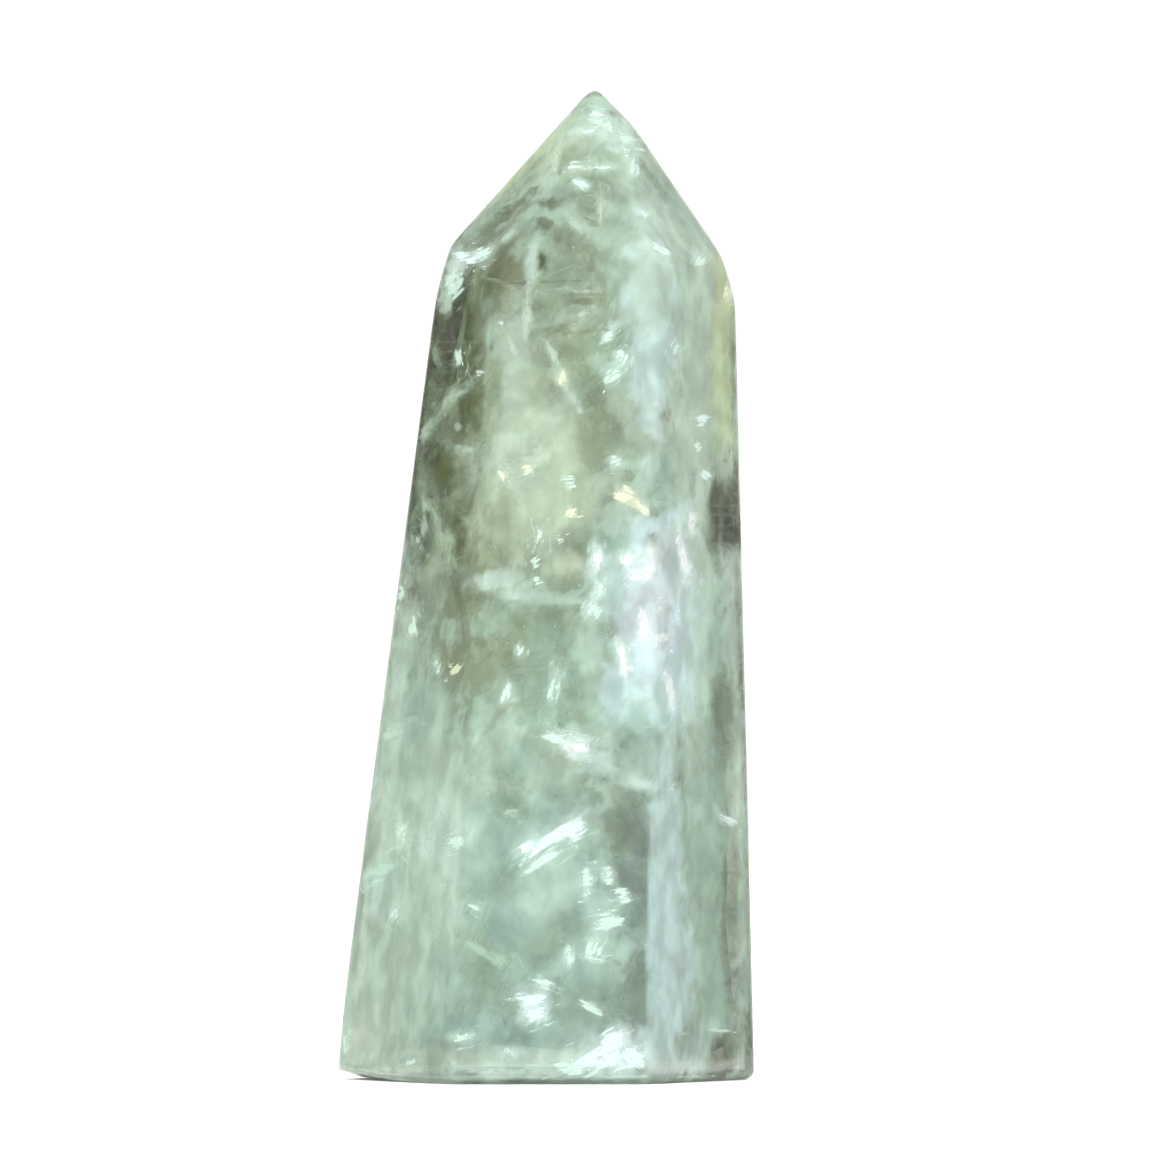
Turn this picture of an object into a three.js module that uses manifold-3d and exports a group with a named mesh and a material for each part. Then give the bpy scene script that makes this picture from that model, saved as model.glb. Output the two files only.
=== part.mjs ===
// A prasiolite tower: one piece of green quartz, ground and polished to a six-sided point that stands on its flat foot.
// Millimetres, +Z up. The view from -Y is the front. The origin is on the ground, under the middle of the outline.
//
// The stone is made as a cutter makes it: a rough block loses everything outside one flat after another.
// Each flat is a plane, and the stone is what lies behind all of them.

import * as THREE from "three";
import { mergeVertices } from "three/addons/utils/BufferGeometryUtils.js";
import Module from "manifold-3d";

const wasm = await Module();
wasm.setup();

// Driving dimensions
const HEIGHT = 80; // the blunt tip
const SHOULDER_Z = 65; // the height at which the sides' upper distances are given
const PEAK = new THREE.Vector3(4.3, 0.4, 81.3); // where the point's flats would meet if the tip were sharp

// The six sides, counterclockwise from above.
// faces is the compass angle that the side faces, and foot and shoulder are how far it stands from the foot's
// middle at the ground and at SHOULDER_Z. The left sides lean in most, so the stone leans to the right.
// corner is the height at which the point begins on the ridge between this side and the next one.
// dip is how far under the sharp peak this side's flat of the point passes.
// footEdge is how deep the edge at the ground is eased.
const SIDES = [
  { faces: 30, foot: 14.6, shoulder: 13.6, corner: 65.8, dip: 0.1, footEdge: 0.25 },
  { faces: 90, foot: 14.3, shoulder: 9.9, corner: 64.4, dip: 0.6, footEdge: 0.2 },
  { faces: 150, foot: 15.75, shoulder: 7.7, corner: 66.6, dip: 0, footEdge: 0.25 },
  { faces: 210, foot: 14.6, shoulder: 7.9, corner: 63.8, dip: 0.15, footEdge: 0.2 },
  { faces: 270, foot: 15.2, shoulder: 10.4, corner: 65.6, dip: 0, footEdge: 0.22 },
  { faces: 330, foot: 14.6, shoulder: 12.8, corner: 65.1, dip: 0.15, footEdge: 0.42 },
];

// Small flats across corners of the outline, each through a high and a low point: the two shoulders, the worn side of
// the tip, and the foot's left corner, which is ground off in two steps
const CORNER_FLATS = [
  { faces: 180, high: { out: 8.0, z: 67.0 }, low: { out: 9.1, z: 63.3 } },
  { faces: 0, high: { out: 13.9, z: 67.0 }, low: { out: 15.12, z: 63.0 } },
  { faces: 0, high: { out: 4.0, z: 80.0 }, low: { out: 6.7, z: 77.4 } },
  { faces: 180, high: { out: 16.55, z: 6.6 }, low: { out: 16.98, z: 1.0 } },
  { faces: 195, high: { out: 16.9, z: 0.95 }, low: { out: 13.6, z: 0 } },
];

// How deep the other edges are eased
const SIDE_EDGE = 0.1;
const SHOULDER_EDGE = 0.07;
const TIP_EDGE = 0.1;

// The edges of the point, in the order of SIDES. The two at the outline are wider and turned towards the front.
// turn is the share of the front flat in the eased edge's direction, from 0 to 1.
const POINT_EDGES = [
  { depth: 0.07, turn: 0.5 },
  { depth: 0.07, turn: 0.5 },
  { depth: 0.13, turn: 0.64 },
  { depth: 0.07, turn: 0.5 },
  { depth: 0.07, turn: 0.5 },
  { depth: 0.14, turn: 0.36 },
];

// The rough block is larger than the stone, and so is each lump of waste
const BLOCK = { width: 60, height: 100 };
const WASTE = { width: 200, depth: 100 };

const UP = new THREE.Vector3(0, 0, 1);
const GROUND = flatAt(new THREE.Vector3(0, 0, -1), new THREE.Vector3(0, 0, 0));
const TABLE = flatAt(UP, new THREE.Vector3(0, 0, HEIGHT));

// A flat through a point. Its normal points out of the stone.
function flatAt(outward, point) {
  return new THREE.Plane().setFromNormalAndCoplanarPoint(outward.clone().normalize(), point);
}

// A unit vector along the ground that faces a compass angle.
function facing(degrees) {
  const angle = THREE.MathUtils.degToRad(degrees);
  return new THREE.Vector3(Math.cos(angle), Math.sin(angle), 0);
}

// A flat that faces a compass angle, through a high and a low point on that side.
function flatThrough({ faces, high, low }) {
  const out = facing(faces);
  const lowPoint = out.clone().multiplyScalar(low.out).setZ(low.z);
  const outward = out.clone().multiplyScalar(high.z - low.z).setZ(low.out - high.out);
  return flatAt(outward, lowPoint);
}

function sideFlat({ faces, foot, shoulder }) {
  return flatThrough({ faces, high: { out: shoulder, z: SHOULDER_Z }, low: { out: foot, z: 0 } });
}

// The one point that lies on three flats.
function meeting(a, b, c) {
  const cross = (p, q) => p.normal.clone().cross(q.normal);
  const sum = cross(b, c).multiplyScalar(-a.constant);
  sum.addScaledVector(cross(c, a), -b.constant);
  sum.addScaledVector(cross(a, b), -c.constant);
  return sum.divideScalar(a.normal.dot(cross(b, c)));
}

// The narrow flat that eases the edge between two flats. turn is the second one's share in its direction.
function easedEdge(a, b, { depth, turn = 0.5 }) {
  const normal = a.normal.clone().lerp(b.normal, turn);
  const constant = THREE.MathUtils.lerp(a.constant, b.constant, turn);
  const edge = new THREE.Plane(normal, constant).normalize();
  edge.constant += depth;
  return edge;
}

// The flats of the point. Each holds two shoulder corners and passes at the peak or a little under it.
function pointFlats(sides) {
  const corners = SIDES.map(({ corner }, k) => {
    const level = flatAt(UP, new THREE.Vector3(0, 0, corner));
    return meeting(sides[k], sides[(k + 1) % SIDES.length], level);
  });
  return SIDES.map(({ dip }, k) => {
    const before = corners[(k + SIDES.length - 1) % SIDES.length];
    const top = PEAK.clone().setZ(PEAK.z - dip);
    return new THREE.Plane().setFromCoplanarPoints(before, corners[k], top);
  });
}

// All the flats of the finished stone, in the order in which they are ground.
function allFlats() {
  const sides = SIDES.map(sideFlat);
  const point = pointFlats(sides);
  const corners = CORNER_FLATS.map(flatThrough);
  const eased = SIDES.flatMap(({ footEdge }, k) => {
    const next = (k + 1) % SIDES.length;
    return [
      easedEdge(sides[k], sides[next], { depth: SIDE_EDGE }),
      easedEdge(sides[k], point[k], { depth: SHOULDER_EDGE }),
      easedEdge(sides[k], GROUND, { depth: footEdge }),
      easedEdge(point[k], point[next], POINT_EDGES[k]),
      easedEdge(point[k], TABLE, { depth: TIP_EDGE }),
    ];
  });
  return [...sides, ...point, TABLE, ...corners, ...eased];
}

// A closed geometry as a solid, with its shared corners merged.
function solidOf(geometry) {
  geometry.deleteAttribute("normal");
  geometry.deleteAttribute("uv");
  const merged = mergeVertices(geometry);
  const mesh = new wasm.Mesh({
    numProp: 3,
    vertProperties: merged.attributes.position.array,
    triVerts: new Uint32Array(merged.index.array),
  });
  return new wasm.Manifold(mesh);
}

function geometryOf(solid) {
  const { vertProperties, triVerts } = solid.getMesh();
  const geometry = new THREE.BufferGeometry();
  geometry.setAttribute("position", new THREE.BufferAttribute(vertProperties, 3));
  geometry.setIndex(new THREE.BufferAttribute(triVerts, 1));
  return geometry;
}

function roughBlock() {
  const block = new THREE.BoxGeometry(BLOCK.width, BLOCK.width, BLOCK.height);
  block.translate(0, 0, BLOCK.height / 2);
  return solidOf(block);
}

// Takes away everything beyond one flat.
function grind(stone, flat) {
  const waste = new THREE.BoxGeometry(WASTE.width, WASTE.width, WASTE.depth);
  waste.translate(0, 0, WASTE.depth / 2);
  waste.applyQuaternion(new THREE.Quaternion().setFromUnitVectors(UP, flat.normal));
  const onFlat = flat.coplanarPoint(new THREE.Vector3());
  waste.translate(onFlat.x, onFlat.y, onFlat.z);
  return stone.subtract(solidOf(waste));
}

// The ground stone, moved so that its outline is centred over the origin.
function towerGeometry() {
  const geometry = geometryOf(allFlats().reduce(grind, roughBlock()));
  geometry.computeBoundingBox();
  const middle = geometry.boundingBox.getCenter(new THREE.Vector3());
  return geometry.translate(-middle.x, -middle.y, 0);
}

// Polished green quartz. It is clear, so its colour is what its depth takes from the light.
const prasiolite = new THREE.MeshStandardMaterial({ color: 0xb4cdb9, roughness: 0.06, metalness: 0 });

const tower = new THREE.Group();
const stone = new THREE.Mesh(towerGeometry(), prasiolite);
stone.name = "crystal_tower";
tower.add(stone);

export default tower;
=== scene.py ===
# %% [markdown]
# # A prasiolite tower
# This lesson dresses a polished point of green quartz. The stone is clear, so most of what one sees is
# inside it: clouds, healed cracks, bright breaks and sparkles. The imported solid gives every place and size.

import math

import bmesh
import bpy
import numpy as np
from mathutils import Matrix, Vector, noise
from mathutils.bvhtree import BVHTree


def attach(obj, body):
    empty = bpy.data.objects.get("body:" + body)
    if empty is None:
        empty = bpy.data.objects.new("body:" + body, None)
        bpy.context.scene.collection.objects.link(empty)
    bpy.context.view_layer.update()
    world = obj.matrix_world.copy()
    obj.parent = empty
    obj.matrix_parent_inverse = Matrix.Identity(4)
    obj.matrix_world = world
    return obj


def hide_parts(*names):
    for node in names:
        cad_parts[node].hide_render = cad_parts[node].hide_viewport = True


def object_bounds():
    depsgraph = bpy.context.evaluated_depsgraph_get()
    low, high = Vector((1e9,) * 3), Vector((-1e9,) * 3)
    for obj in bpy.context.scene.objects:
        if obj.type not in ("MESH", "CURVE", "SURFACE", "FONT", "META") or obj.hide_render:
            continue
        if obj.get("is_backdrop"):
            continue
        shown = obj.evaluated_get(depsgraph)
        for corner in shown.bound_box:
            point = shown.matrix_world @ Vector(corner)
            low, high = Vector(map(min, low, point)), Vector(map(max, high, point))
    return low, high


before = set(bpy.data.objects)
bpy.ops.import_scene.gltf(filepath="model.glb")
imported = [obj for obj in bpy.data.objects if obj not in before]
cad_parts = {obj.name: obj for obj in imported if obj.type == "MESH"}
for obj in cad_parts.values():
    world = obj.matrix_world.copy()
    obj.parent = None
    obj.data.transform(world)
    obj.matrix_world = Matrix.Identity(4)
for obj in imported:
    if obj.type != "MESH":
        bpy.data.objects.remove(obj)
cad_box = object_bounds()
MM = 0.001
scene = bpy.context.scene
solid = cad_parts["crystal_tower"]
print("the stone measures", [round(size / MM, 1) for size in cad_box[1] - cad_box[0]], "mm")

# %% [markdown]
# ## The camera
# A product photograph of a small stone is taken from far off with a long lens, which keeps its sides
# straight. A near camera with a short lens would spread the foot. The picture is level with the middle of
# the stone, so the camera stands at that height, and its lens is worked out from how many picture points
# one millimetre takes.

# %% Camera
FRAME_PX = 1159
PX_PER_MM = 12.39
BASE_X_PX = 546.5  # the middle of the foot
BASE_Y_PX = 1079.5  # the ground, at the depth of the stone's middle
CAMERA_DISTANCE = 1.5
SENSOR = 36.0
NEAREST = 0.05  # the camera shows nothing that is nearer than this


def millimetres(x_px, y_px):
    """The x and z, in millimetres, of a picture point in the upright plane through the stone's middle."""
    return (x_px - BASE_X_PX) / PX_PER_MM, (BASE_Y_PX - y_px) / PX_PER_MM


middle_x, middle_z = millimetres(FRAME_PX / 2, FRAME_PX / 2)
eye = Vector((middle_x * MM, -CAMERA_DISTANCE, middle_z * MM))
camera = bpy.data.objects.new("camera", bpy.data.cameras.new("camera"))
camera.location = eye
camera.rotation_euler = (math.radians(90), 0, 0)
camera.data.sensor_width = SENSOR
camera.data.lens = SENSOR * CAMERA_DISTANCE / (FRAME_PX / PX_PER_MM * MM)
camera.data.clip_start = NEAREST
scene.collection.objects.link(camera)
scene.camera = camera
print("lens", round(camera.data.lens), "mm")

# %% [markdown]
# ## The studio
# Glass has hardly a look of its own: it shows the room. A white sky alone would leave it flat, so the room
# is bright at the horizon and has darker, warmer walls at the stone's left and right, which keep the depth
# in its side flats. Light takes many turns inside a cut stone, so the limits on its bounces are raised, or
# the deep parts would turn black.

# %% Studio
LIGHT_TURNS = {
    "max_bounces": 8,
    "glossy_bounces": 4,
    "transmission_bounces": 6,
    "diffuse_bounces": 3,
    "transparent_max_bounces": 24,
}

scene.view_settings.view_transform = "Standard"
for name, limit in LIGHT_TURNS.items():
    setattr(scene.cycles, name, limit)
print("light may turn", LIGHT_TURNS["transmission_bounces"], "times inside the stone")

# %% [markdown]
# ## Node sheets
# A finish in Blender is a sheet of small nodes with links between them. Placing them one by one hides the
# sum that they work out. With the classes below a sum is written as a sum, and each sign in it adds its own
# node. One method adds any other node, from its type, its settings and what goes into its sockets.

# %% Node sheets
class Value:
    """A number that changes over a surface. An expression on values adds the Math nodes for it."""

    def __init__(self, sheet, socket):
        self.sheet = sheet
        self.socket = socket

    def math(self, operation, first, second):
        made = self.sheet.node("ShaderNodeMath", {"operation": operation}, {0: first, 1: second})
        return made["Value"]

    def __add__(self, other):
        return self.math("ADD", self, other)

    def __mul__(self, other):
        return self.math("MULTIPLY", self, other)

    __radd__ = __add__
    __rmul__ = __mul__


class Made(dict):
    """The outputs of one node, by name."""

    def __init__(self, sheet, node):
        outputs = [socket for socket in reversed(node.outputs) if socket.enabled]
        super().__init__((socket.name, Value(sheet, socket)) for socket in outputs)


class Sheet:
    """One node tree, and the one way to add a node to it."""

    def __init__(self, owner):
        owner.use_nodes = True
        self.tree = owner.node_tree
        self.tree.nodes.clear()

    def node(self, kind, settings=None, sockets=None):
        made = self.tree.nodes.new(kind)
        for name, setting in (settings or {}).items():
            if name == "stops":
                self.set_stops(made.color_ramp, setting)
            else:
                setattr(made, name, setting)
        for name, value in (sockets or {}).items():
            if isinstance(value, Value):
                self.tree.links.new(value.socket, made.inputs[name])
            else:
                made.inputs[name].default_value = value
        return Made(self, made)

    def set_stops(self, ramp, stops):
        while len(ramp.elements) < len(stops):
            ramp.elements.new(1.0)
        for element, (place, colour) in zip(ramp.elements, stops):
            element.position = place
            element.color = (*colour, 1)

    def mix(self, share, first, second, blend="MIX"):
        """A colour between two colours, or another blend of them."""
        settings = {"data_type": "RGBA", "blend_type": blend}
        return self.node("ShaderNodeMix", settings, {0: share, 6: first, 7: second})["Result"]

    def noise(self, size_mm, detail=2.0, place=None, twist=0.0):
        """Soft noise whose blotches are about this many millimetres across. twist bends them."""
        coordinates = place or self.node("ShaderNodeTexCoord")["Object"]
        sockets = {"Vector": coordinates, "Scale": 1 / (size_mm * MM), "Detail": detail, "Distortion": twist}
        return self.node("ShaderNodeTexNoise", None, sockets)["Fac"]

    def lit(self, colour, light):
        """A colour made lighter or darker by a value around 1."""
        sockets = {0: colour, "Scale": light}
        return self.node("ShaderNodeVectorMath", {"operation": "SCALE"}, sockets)["Vector"]

    def drawn(self, place, factors):
        """Coordinates that are multiplied along x, y and z, which draws noise out along the small factors."""
        sockets = {0: place, 1: factors}
        return self.node("ShaderNodeVectorMath", {"operation": "MULTIPLY"}, sockets)["Vector"]

    def step(self, value, low, high):
        """A soft step from 0 to 1 between two values."""
        sockets = {"Value": value, "From Min": low, "From Max": high}
        return self.node("ShaderNodeMapRange", {"interpolation_type": "SMOOTHSTEP"}, sockets)["Result"]


# %% [markdown]
# ## The air of the studio
# The room could be built from white boards, but then it would stand in the way of every other view. A sky
# that changes only from low to high and from left to right shows the same reflections.

# %% The air of the studio
HORIZON = 1.06  # how bright the air is at eye level, straight up and straight down
OVERHEAD = 1.1
UNDERFOOT = 0.7
EYE_LEVEL = (0.47, 0.58)  # where the bright band begins and ends, from 0 at the bottom to 1 at the top
LEFT_WALL = (0.5, 0.5, 0.39)
RIGHT_WALL = (0.8, 0.8, 0.74)
WALL_EDGES = (0.05, 0.35, 0.7, 0.95)  # where each wall begins and ends, from 0 at the left to 1 at the right


def grey(level):
    return (level, level, level)


world = bpy.data.worlds.new("studio_air")
scene.world = world
sky = Sheet(world)
direction = sky.node("ShaderNodeTexCoord")["Generated"]
axes = sky.node("ShaderNodeSeparateXYZ", None, {0: direction})
heights = list(zip((0.0, *EYE_LEVEL, 1.0), (grey(UNDERFOOT), grey(HORIZON), grey(HORIZON), grey(OVERHEAD))))
walls = list(zip(WALL_EDGES, (LEFT_WALL, grey(1.0), grey(1.0), RIGHT_WALL)))
air = sky.node("ShaderNodeValToRGB", {"stops": heights}, {0: axes["Z"] * 0.5 + 0.5})["Color"]
shade = sky.node("ShaderNodeValToRGB", {"stops": walls}, {0: axes["X"] * 0.5 + 0.5})["Color"]
sockets = {"Color": sky.mix(1.0, air, shade, "MULTIPLY"), "Strength": 1.0}
backdrop = sky.node("ShaderNodeBackground", None, sockets)["Background"]
sky.node("ShaderNodeOutputWorld", None, {"Surface": backdrop})
print("the studio air has", len(sky.tree.nodes), "nodes")

# %% [markdown]
# ## Lamps
# The key lamp stands at the front left, a weaker one at the right opens its shadows, and one behind the
# stone sends light through the clear parts. A small strong lamp would draw a hard shadow, so all are large
# and weak, like the walls of a light tent. They stay out of the polish, where their round glare would hide
# the inside.

# %% Lamps
AIM = Vector((0, 0, 40 * MM))
LAMPS = {
    "key_lamp": {"place": (-0.45, -0.7, 0.75), "across": 1.5, "watts": 16.5},
    "fill_lamp": {"place": (0.6, -0.85, 0.5), "across": 1.2, "watts": 7},
    "back_lamp": {"place": (0.1, 1.1, 0.7), "across": 1.5, "watts": 9},
}

for name, lamp in LAMPS.items():
    light = bpy.data.objects.new(name, bpy.data.lights.new(name, "AREA"))
    light.data.shape = "DISK"
    light.data.size = lamp["across"]
    light.data.energy = lamp["watts"]
    light.location = lamp["place"]
    light.visible_camera = False
    light.visible_glossy = False
    light.rotation_euler = (AIM - light.location).to_track_quat("-Z", "Y").to_euler()
    scene.collection.objects.link(light)
print("lamps:", ", ".join(LAMPS))

# %% [markdown]
# ## The floor
# The stone stands on a plain pale board, rough enough to show no mirror image. A bright flat sheet without
# any noise would look like paper cut out, so its paint is faintly mottled. The two helpers make a finish
# from a function and a piece from places and faces, and all later pieces use them.

# %% Floor
FLOOR_REACH = (1.8, 1.2)
FLOOR_CORNERS = ((-1, -1), (1, -1), (1, 1), (-1, 1))
FLOOR_DROP = 0.02 * MM  # the foot stays clear of the floor, so that the two don't flicker
MOTTLE = 60  # millimetres


def material(name, surface, volume=None):
    """A material from a function that fills its node sheet and returns the shader."""
    made = bpy.data.materials.new(name)
    sheet = Sheet(made)
    sockets = {"Surface": surface(sheet)}
    if volume:
        sockets["Volume"] = volume(sheet)
    sheet.node("ShaderNodeOutputMaterial", None, sockets)
    return made


def painted_board(sheet):
    mottle = sheet.noise(MOTTLE, detail=3.0)
    colour = sheet.mix(mottle, (0.90, 0.89, 0.885, 1), (0.94, 0.935, 0.93, 1))
    sockets = {"Base Color": colour, "Roughness": 0.7}
    return sheet.node("ShaderNodeBsdfPrincipled", None, sockets)["BSDF"]


def piece_from(name, vertices, faces, finish, smooth=True):
    """A mesh object from places in metres."""
    mesh = bpy.data.meshes.new(name)
    mesh.from_pydata([tuple(v) for v in vertices], [], [tuple(f) for f in faces])
    mesh.update()
    mesh.polygons.foreach_set("use_smooth", [smooth] * len(mesh.polygons))
    mesh.materials.append(finish)
    made = bpy.data.objects.new(name, mesh)
    scene.collection.objects.link(made)
    return made


corners = [(x * FLOOR_REACH[0], y * FLOOR_REACH[1], -FLOOR_DROP) for x, y in FLOOR_CORNERS]
floor = piece_from("floor", corners, [(0, 1, 2, 3)], material("painted_board", painted_board), smooth=False)
floor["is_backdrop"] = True
print("the floor is", 2 * FLOOR_REACH[0], "by", 2 * FLOOR_REACH[1], "m")

# %% [markdown]
# ## The flats of the stone
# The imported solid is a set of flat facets. Each facet is a plane, and a point's slack is how far it lies
# behind that plane. The least slack of a point says how deep it is in the stone, and a soft version of it,
# which blends the planes near an edge, gives rounded edges without any bevel tool. Both are used below, for
# the polished outside and for the clouds inside.

# %% Planes and depth
FLAT_TOLERANCE = math.radians(0.4)
WELD = 0.001 * MM  # corners closer than this are one


def whole_flats(mesh):
    """A copy of a mesh in which the triangles of each flat are one face."""
    cut = bmesh.new()
    cut.from_mesh(mesh)
    bmesh.ops.remove_doubles(cut, verts=cut.verts, dist=WELD)
    bmesh.ops.dissolve_limit(cut, angle_limit=FLAT_TOLERANCE, verts=cut.verts, edges=cut.edges)
    return cut


def flats_of(mesh):
    """The normals and distances of a convex mesh's flats, in millimetres."""
    cut = whole_flats(mesh)
    cut.normal_update()
    normals = np.array([face.normal for face in cut.faces])
    reaches = np.array([face.normal.dot(face.verts[0].co) / MM for face in cut.faces])
    cut.free()
    return normals, reaches


NORMALS, REACHES = flats_of(solid.data)


def depth_of(points, softness=0.0):
    """How deep points lie in the stone, in millimetres. softness rounds the edges by about that much."""
    slack = REACHES - points @ NORMALS.T
    if softness == 0.0:
        return slack.min(axis=1)
    least = slack.min(axis=1, keepdims=True)
    return least[:, 0] - softness * np.log(np.exp((least - slack) / softness).sum(axis=1))


MIDDLE = np.array([2.0, 0.0, 38.0])
print(len(REACHES), "flats; the middle is", round(float(depth_of(MIDDLE[None])[0]), 1), "mm deep")

# %% [markdown]
# ## The polished outside
# A lap leaves broad flats that are a little crowned, with edges eased by the same pad. A bevel on every
# edge would be quick, but each would be alike. Here the flats are cut into a fine net, closer near the
# edges, and every point is pulled in to where the soft depth is zero. A slow noise adds the unevenness of
# work done by hand. Everything moves inwards, so the stone keeps its size.

# %% The outside's net
NET = 1.4  # the net's spacing on the flats
EDGE_STEPS = (0.07, 0.2, 0.5)  # extra lines at these distances behind each flat
NET_WELD = 0.03 * MM
ROUNDING = 0.12  # how much the edges are rounded, in millimetres
PULLS = 3
PULL_SHARE = 0.9  # each pull goes this much of the way
UNEVEN = 0.05  # how deep the slow unevenness of the polish is, and how wide
UNEVEN_SIZE = 9.0
UNEVEN_END = 2.0  # it fades out within this distance of an edge
FOOT_FLAT = 0.6  # the sides keep straight below this height


def net_of_flats():
    """The solid's surface, cut by evenly spaced planes and by planes just behind each flat."""
    cut = whole_flats(solid.data)
    low, high = (np.array(corner) / MM for corner in cad_box)
    planes = []
    for normal, reach in zip(NORMALS, REACHES):
        planes += [(normal * (reach - step), normal) for step in EDGE_STEPS]
    for axis in range(3):
        across = np.eye(3)[axis]
        planes += [(across * place, across) for place in np.arange(low[axis] + NET / 2, high[axis], NET)]
    for place, across in planes:
        everything = cut.verts[:] + cut.edges[:] + cut.faces[:]
        bmesh.ops.bisect_plane(cut, geom=everything, plane_co=Vector(place) * MM, plane_no=Vector(across))
    bmesh.ops.remove_doubles(cut, verts=cut.verts, dist=NET_WELD)
    bmesh.ops.triangulate(cut, faces=cut.faces)
    cut.normal_update()
    vertices = np.array([v.co for v in cut.verts]) / MM
    faces = [[v.index for v in face.verts] for face in cut.faces]
    cut.free()
    return vertices, faces


def noise_at(points, size, seed=0.0, octaves=3):
    """Soft noise from about -1 to 1, with blotches of this size in millimetres."""
    shift = Vector((seed * 17.3, seed * 5.1, seed * 9.7))
    return np.array([noise.fractal(Vector(p) / size + shift, 1.0, 2.0, octaves) for p in points])


# %% [markdown]
# ## The lap's touch
# Each point of the net is pulled along the blended normal of the flats around it, a little less than the
# whole way at a time, until it lies at soft depth zero. One full pull would overshoot at the corners.

# %% The lap's touch
net, net_faces = net_of_flats()
slack = REACHES - net @ NORMALS.T
weights = np.exp(-np.clip(slack, 0, None) / ROUNDING)
inward = -(weights @ NORMALS)
inward /= np.linalg.norm(inward, axis=1, keepdims=True)
to_edge = np.sort(slack, axis=1)[:, 1]
uneven = UNEVEN * (0.5 + 0.5 * noise_at(net, UNEVEN_SIZE, seed=1)) * np.clip(to_edge / UNEVEN_END, 0, 1)
uneven *= np.clip(net[:, 2] / FOOT_FLAT - 1, 0, 1)
for _ in range(PULLS):
    missing = np.clip(-depth_of(net, ROUNDING), 0, None)
    net = net + inward * missing[:, None] * PULL_SHARE
net = net + inward * uneven[:, None]
print(len(net), "points on the polished outside")

# %% [markdown]
# ## The clear green stone
# Quartz bends light with an index of 1.544. The colour of prasiolite isn't on its surface: it is what the
# depth of the stone takes from the light, so the surface is left white and the volume absorbs. Faint
# rubbing marks of the polish change only the roughness.

# %% Prasiolite
QUARTZ_IOR = 1.544
ABSORPTION_COLOUR = (0.53, 0.57, 0.46, 1)
ABSORPTION_DENSITY = 75.0
RUBBED = 0.09  # the roughness where the rubbing marks are strongest


def polished_quartz(sheet):
    rubbed = sheet.noise(3.0, detail=4.0) * sheet.noise(14.0, detail=2.0)
    sockets = {
        "Base Color": (1, 1, 1, 1),
        "Roughness": rubbed * RUBBED,
        "IOR": QUARTZ_IOR,
        "Transmission Weight": 1.0,
    }
    return sheet.node("ShaderNodeBsdfPrincipled", None, sockets)["BSDF"]


def green_depth(sheet):
    sockets = {"Color": ABSORPTION_COLOUR, "Density": ABSORPTION_DENSITY}
    return sheet.node("ShaderNodeVolumeAbsorption", None, sockets)["Volume"]


prasiolite = material("prasiolite", polished_quartz, green_depth)
outside = piece_from("polished_stone", net * MM, net_faces, prasiolite)
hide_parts("crystal_tower")
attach(outside, "root")
triangles = {"polished_stone": len(net_faces)}
print("the outside has", len(net_faces), "triangles")

# %% [markdown]
# ## Where the eye looks
# The features inside are placed by where the picture shows them. A line of sight bends as it enters the
# stone, so a feature that shows at one picture point lies off the straight line behind it. This function
# follows the bent line to a given depth under the flat. The eye can also walk around the stone, which
# places features on its other sides.

# %% Sight lines
tree = BVHTree.FromPolygons([tuple(v) for v in net], net_faces)


def around(turn):
    """The turning of the eye's stand about the upright axis, in degrees."""
    return Matrix.Rotation(math.radians(turn), 3, "Z")


def seen_at(x_px, y_px, depth, turn=0.0):
    """The place that shows at a picture point, this deep under the flat, or None beside the stone."""
    x, z = millimetres(x_px, y_px)
    start = around(turn) @ (eye / MM)
    ray = (around(turn) @ Vector((x, 0, z)) - start).normalized()
    hit, normal, _, _ = tree.ray_cast(start, ray)
    if hit is None:
        return None
    ratio = 1 / QUARTZ_IOR
    facing = -normal.dot(ray)
    bent = ray * ratio + normal * (ratio * facing - math.sqrt(1 - ratio**2 * (1 - facing**2)))
    bent.normalize()
    return hit + bent * (depth / -bent.dot(normal))


print("a point behind the left side", [round(c, 1) for c in seen_at(420, 600, 4)])

# %% [markdown]
# ## Clouds in the stone
# Green quartz of this grade is hazy: bands of tiny fluid drops lie in it, thick in some places and missing
# in others. Real fog would be a scattering volume, which renders slowly and is lost when the model leaves
# Blender. Here the haze lies on a few thin skins, one inside the other, painted with soft washes of colour
# and cover. A skin is found by walking outwards from the middle until the soft depth is right, so it
# follows all sides of the stone.

# %% Skins inside the stone
SKINS = {
    "outer_haze": {"depth": 0.3, "softness": 0.2, "wave": 0.06, "rows": 290, "turns": 290},
    "middle_haze": {"depth": 2.6, "softness": 1.2, "wave": 0.9, "rows": 150, "turns": 160},
    "inner_haze": {"depth": 6.2, "softness": 1.4, "wave": 1.6, "rows": 110, "turns": 120},
}
HALVINGS = 18
FARTHEST = 60.0  # millimetres from the middle, outside the stone on all sides
OUTLINE_STEPS = 600


def walk_out(directions, depth, softness):
    """Points on lines from the middle where the soft depth has this value."""
    near = np.zeros(len(directions))
    far = np.full(len(directions), FARTHEST)
    for _ in range(HALVINGS):
        half = (near + far) / 2
        inside = depth_of(MIDDLE + directions * half[:, None], softness) > depth
        near = np.where(inside, half, near)
        far = np.where(inside, far, half)
    return MIDDLE + directions * near[:, None]


def even_rises(depth, softness, rows):
    """Angles of rise that space the rows of a skin evenly along its outline."""
    rises = np.linspace(-math.pi / 2, math.pi / 2, OUTLINE_STEPS)
    outline = walk_out(np.stack([np.cos(rises), 0 * rises, np.sin(rises)], axis=1), depth, softness)
    steps = np.linalg.norm(np.diff(outline, axis=0), axis=1)
    way = np.concatenate([[0], np.cumsum(steps)])
    return np.interp(np.linspace(0, way[-1], rows + 2)[1:-1], way, rises)


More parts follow.
